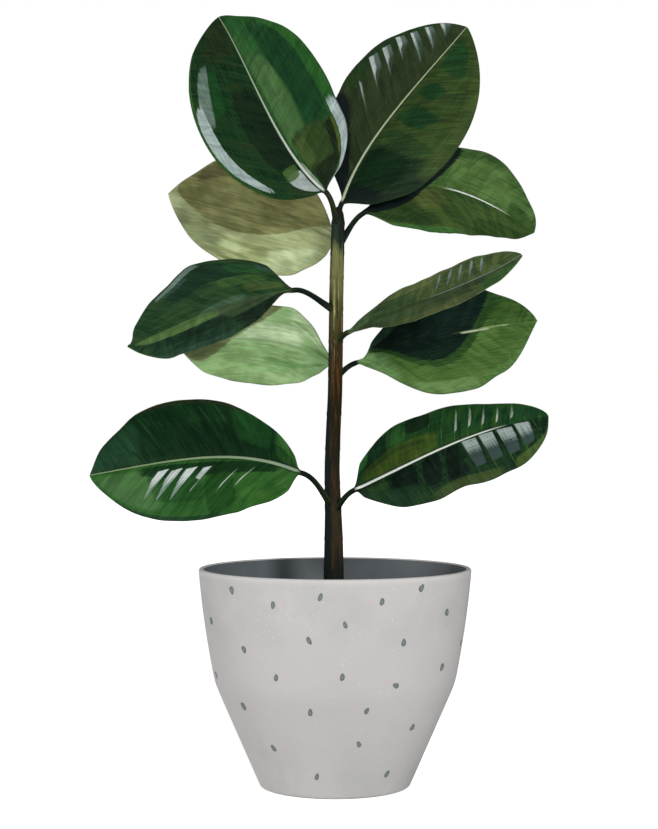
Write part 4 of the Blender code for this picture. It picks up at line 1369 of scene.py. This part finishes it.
def cubic_through(points, t):
    """The cubic that passes through four points at t = 0, 1/3, 2/3 and 1."""
    start, first, second, end = points
    t = t[:, None]
    return (
        -4.5 * (t - 1 / 3) * (t - 2 / 3) * (t - 1) * start
        + 13.5 * t * (t - 2 / 3) * (t - 1) * first
        - 13.5 * t * (t - 1 / 3) * (t - 1) * second
        + 4.5 * t * (t - 1 / 3) * (t - 2 / 3) * end
    )


def stalk_line(start, rib):
    """The stalk's centre line: out from the stem, then swinging into the midrib's direction."""
    base = rib[0]
    reach = np.linalg.norm(base - start) / 3
    into_blade = unit(rib[1] - rib[0])
    first, second = start + reach * unit(base - start), base - reach * into_blade
    s = np.linspace(0, 1, STALK_RINGS + 1)[:-1, None]
    return (1 - s) ** 3 * start + 3 * s * (1 - s) ** 2 * first + 3 * s**2 * (1 - s) * second + s**3 * base


def half_width(half, t):
    """The half's width in mm along the midrib."""
    skewed = np.clip(t, 0, 1) ** (math.log(0.5) / math.log(half.widest))
    power = SHOULDER_POWER + (half.tip - SHOULDER_POWER) * t**4 + (half.base - SHOULDER_POWER) * (1 - t) ** 4
    width = half.width * np.maximum(np.sin(math.pi * skewed), 0) ** power
    for place, spread, swell in half.waves:
        width = width + swell * np.exp(-(((t - place) / spread) ** 2)) * np.clip(width / 8, 0, 1)
    end = TIP_HALF_WIDTH * np.sqrt(1 - np.clip((t - 0.97) / 0.03, 0, 1) ** 2) + 0.12
    return np.maximum(width, end)


def bent(half, v):
    """How far out and up a place at v along the half's folded and curled arc is, for a half of width 1."""
    fold, curl = math.radians(half.fold), math.radians(half.curl)
    out = (math.sin(fold) - np.sin(fold - curl * v)) / curl
    up = (np.cos(fold - curl * v) - math.cos(fold)) / curl
    return out, up


def window(value, low, rise, high, fall):
    """1 between low and high, easing to 0 over rise below and fall above."""
    return eased((value - low) / rise) * eased((high - value) / fall)


def leaf_form(leaf, settings):
    """The leaf's rings of points from inside the stem to its tip, and each point's share and place on it."""
    rib = mm(leaf.rib)
    t = bunched(BLADE_RINGS, 0.75)
    stalk = stalk_line(mm(leaf.on_stem), rib)
    line = np.concatenate([stalk, cubic_through(rib, t)])
    along = unit(np.gradient(line, axis=0))
    normal = np.tile(unit(np.array(leaf.faces, float)), (len(line), 1))
    for i in reversed(range(len(line))):
        if i < len(stalk):
            normal[i] = normal[i + 1]
        normal[i] = unit(normal[i] - (normal[i] @ along[i]) * along[i])
    side = np.cross(along, normal)
    run = np.concatenate([[0], np.cumsum(np.linalg.norm(np.diff(line, axis=0), axis=1))]) * 1000
    run -= run[len(stalk)]

    # Columns across, closest together at the midrib and the margins
    spread = bunched(HALF_COLUMNS + 1, 0.72)
    v = np.concatenate([-spread[::-1], spread[1:]])
    seed = LEAVES.index(leaf) * 1.7
    tt, runs = t[:, None], run[len(stalk) :, None]
    vv = np.abs(v)[None]

    place = np.zeros((len(t), len(v), 2))
    width = np.zeros((len(t), len(v)))
    for half, columns in ((leaf.left, v < 0), (leaf.right, v >= 0)):
        out, up = bent(half, np.abs(v[columns]))
        wide = half_width(half, t)[:, None]
        width[:, columns] = wide
        place[:, columns, 0] = np.sign(v[columns]) * out * wide
        spacing, slant, first = half.veins
        out_mm = vv[:, columns] * wide
        count = (runs - slant * out_mm - first) / spacing
        quilt = settings.quilting * 1000 * (np.abs(np.sin(math.pi * count)) ** 0.7 - 0.62)
        quilt = quilt * window(vv[:, columns], 0.03, 0.14, 0.97, 0.16) * window(tt, 0.05, 0.08, 0.98, 0.08)
        phase = seed + (0 if half is leaf.left else 2.1)
        ripple = np.sin(runs / 6.2 + phase) + 0.5 * np.sin(runs / 2.9 + 2 * phase)
        wave = settings.margin_wave * 1000 * ripple * vv[:, columns] ** 4
        place[:, columns, 1] = up * wide + quilt + wave * window(tt, 0.05, 0.15, 0.97, 0.12)

    away = vv * width
    slim = 0.25 + 0.75 * (1 - tt)
    thick = settings.thickness * 500 * np.sqrt(1 - np.clip((vv - 0.975) / 0.025, 0, 1) ** 2 * 0.999)
    # Above, a fine ridge along the midrib in a shallow groove; below, a keel. In mm
    ridge = (0.55 * np.exp(-((away / 1.0) ** 2)) - 0.6 * np.exp(-((away / 3.2) ** 2))) * slim
    keel = (settings.rib_depth * 1000 * (1 - tt) + 0.25) * np.exp(-((away / 1.7) ** 2))
    top, bottom = place.copy(), place.copy()
    top[..., 1] += thick + ridge
    bottom[..., 1] -= thick + keel
    flat = np.concatenate([top, bottom[:, -2:0:-1]], axis=1)

    count = flat.shape[1]
    angles = math.pi * (1 - 2 * np.arange(count) / count)
    circle = np.stack([np.cos(angles), np.sin(angles)], -1)
    share = eased(t / BLADE_START)[:, None, None]
    stalk_radius, stalk_flare = settings.stalk_radius * 1000, settings.stalk_flare * 1000
    flare = np.linspace(1, 0, len(stalk)) ** 3
    stalk_shape = [circle * (stalk_radius + stalk_flare * f) for f in flare]
    shape = np.concatenate([stalk_shape, (1 - share) * circle * stalk_radius + share * flat])
    sections = line[:, None] + mm(shape[..., :1]) * side[:, None] + mm(shape[..., 1:]) * normal[:, None]

    around = np.concatenate([v, v[-2:0:-1]])
    is_upper = np.concatenate([np.ones(len(v)), np.zeros(len(v) - 2)])
    is_upper[[0, len(v) - 1]] = 0.5
    everywhere = np.ones((len(line), count))
    all_t = np.concatenate([np.zeros(len(stalk)), t])[:, None] * everywhere
    stalk_half = np.full((len(stalk), 1), STALK_HALF_WIDTH)
    lefts, rights = (
        np.concatenate([stalk_half, half_width(half, t)[:, None]]) for half in (leaf.left, leaf.right)
    )
    out_mm = np.where(around < 0, lefts, rights) * around
    on_stalk = np.concatenate([np.ones(len(stalk)), 1 - np.clip(t / 0.035, 0, 1)])[:, None] * everywhere
    kept = {
        "leaf_share": np.stack([0.5 + 0.5 * around * everywhere, all_t, is_upper * everywhere], -1),
        "leaf_place": np.stack([out_mm, run[:, None] * everywhere, on_stalk], -1),
    }
    return sections, kept


class RUBBER_PLANT_OT_leaves(bpy.types.Operator):
    """Grows every leaf: a round stalk that flattens into a ribbed, softly quilted blade"""

    bl_idname = "rubber_plant.leaves"
    bl_label = "Grow the leaves"

    def execute(self, context):
        settings = context.scene.rubber_plant_leaf
        for leaf in LEAVES:
            sections, kept = leaf_form(leaf, settings)
            piece = swept(leaf.name.replace("leaf_", "rubber_leaf_"), sections, kept)
            check_fits(piece, leaf.name)
            hand_over(piece, "leaf", waxy_leaf(leaf, settings), leaf.name)
        return {"FINISHED"}


# ---------------------------------------------------------------- the studio


def softbox(name, place, aim, size, power):
    light = started(name, bpy.ops.object.light_add, type="AREA", location=place)
    light.rotation_euler = (Vector(aim) - Vector(place)).to_track_quat("-Z", "Y").to_euler()
    light.data.shape = "DISK"
    light.data.size = size
    light.data.energy = power


class RUBBER_PLANT_OT_stage(bpy.types.Operator):
    """Sets up the pale floor, the softboxes, the even room light and the camera"""

    bl_idname = "rubber_plant.stage"
    bl_label = "Set the stage"

    def execute(self, context):
        scene = context.scene
        stage = scene.rubber_plant_stage
        circle = bpy.ops.mesh.primitive_circle_add
        floor = started("studio_floor", circle, vertices=96, radius=8, fill_type="NGON")
        edit(floor)
        for _ in range(5):
            bpy.ops.mesh.inset(thickness=0.8)
        bpy.ops.object.mode_set(mode="OBJECT")
        floor.data.materials.append(pale_floor(stage))

        middle = (0, 0, 0.33)
        softbox("key_softbox", (0.98, -2.25, 1.02), middle, 0.62, stage.key)
        softbox("fill_softbox", (-2.4, -0.5, 0.35), middle, 1.4, stage.fill)
        softbox("top_softbox", (-0.2, 0.1, 2.4), middle, 1.8, stage.top)

        world = bpy.data.worlds.new("even_room")
        world.use_nodes = True
        scene.world = world
        tree = world.node_tree
        strength = add_node(tree, "Mix", add_node(tree, "LightPath", out="Is Camera Ray"), stage.sky, 1.0)
        background = tree.nodes["Background"]
        background.inputs["Color"].default_value = (1, 1, 1, 1)
        tree.links.new(strength, background.inputs["Strength"])

        # Level with the leaves from 1.6 m, looking down by less than half a degree
        camera = bpy.data.cameras.new("camera")
        camera.sensor_fit = "AUTO"
        camera.sensor_width = 36
        camera.lens = 86.85
        eye = bpy.data.objects.new("camera", camera)
        scene.collection.objects.link(eye)
        eye.location = (-0.0048, -1.6, 0.3084)
        eye.rotation_euler = (math.radians(90 - 0.415), 0, 0)
        scene.camera = eye
        scene.view_settings.view_transform = "Standard"
        scene.view_settings.look = "None"
        return {"FINISHED"}


# ---------------------------------------------------------------- the add-on


class RUBBER_PLANT_PT_panel(bpy.types.Panel):
    """The plant's steps and settings in the 3D view's sidebar"""

    bl_label = "Potted rubber plant"
    bl_idname = "RUBBER_PLANT_PT_panel"
    bl_space_type = "VIEW_3D"
    bl_region_type = "UI"
    bl_category = "Rubber plant"

    def draw(self, context):
        for name, settings, operators in STEPS:
            box = self.layout.box()
            box.label(text=name.capitalize())
            for setting in settings.__annotations__:
                box.prop(getattr(context.scene, f"rubber_plant_{name}"), setting)
            for operator in operators:
                box.operator(operator.bl_idname)


STEPS = (
    ("pot", PotSettings, (RUBBER_PLANT_OT_pot, RUBBER_PLANT_OT_marks)),
    ("soil", SoilSettings, (RUBBER_PLANT_OT_soil,)),
    ("stem", StemSettings, (RUBBER_PLANT_OT_stem,)),
    ("leaf", LeafSettings, (RUBBER_PLANT_OT_leaves,)),
    ("stage", StageSettings, (RUBBER_PLANT_OT_stage,)),
)
CLASSES = (
    *(cls for _, settings, operators in STEPS for cls in (settings, *operators)),
    RUBBER_PLANT_PT_panel,
)


def register():
    for cls in CLASSES:
        bpy.utils.register_class(cls)
    for name, settings, _ in STEPS:
        setattr(bpy.types.Scene, f"rubber_plant_{name}", PointerProperty(type=settings))


def unregister():
    for name, _, _ in STEPS:
        delattr(bpy.types.Scene, f"rubber_plant_{name}")
    for cls in reversed(CLASSES):
        bpy.utils.unregister_class(cls)


def main():
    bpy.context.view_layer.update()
    register()
    plant = bpy.ops.rubber_plant
    for operator in (plant.pot, plant.marks, plant.soil, plant.stem, plant.leaves, plant.stage):
        operator()


if __name__ == "__main__":
    main()
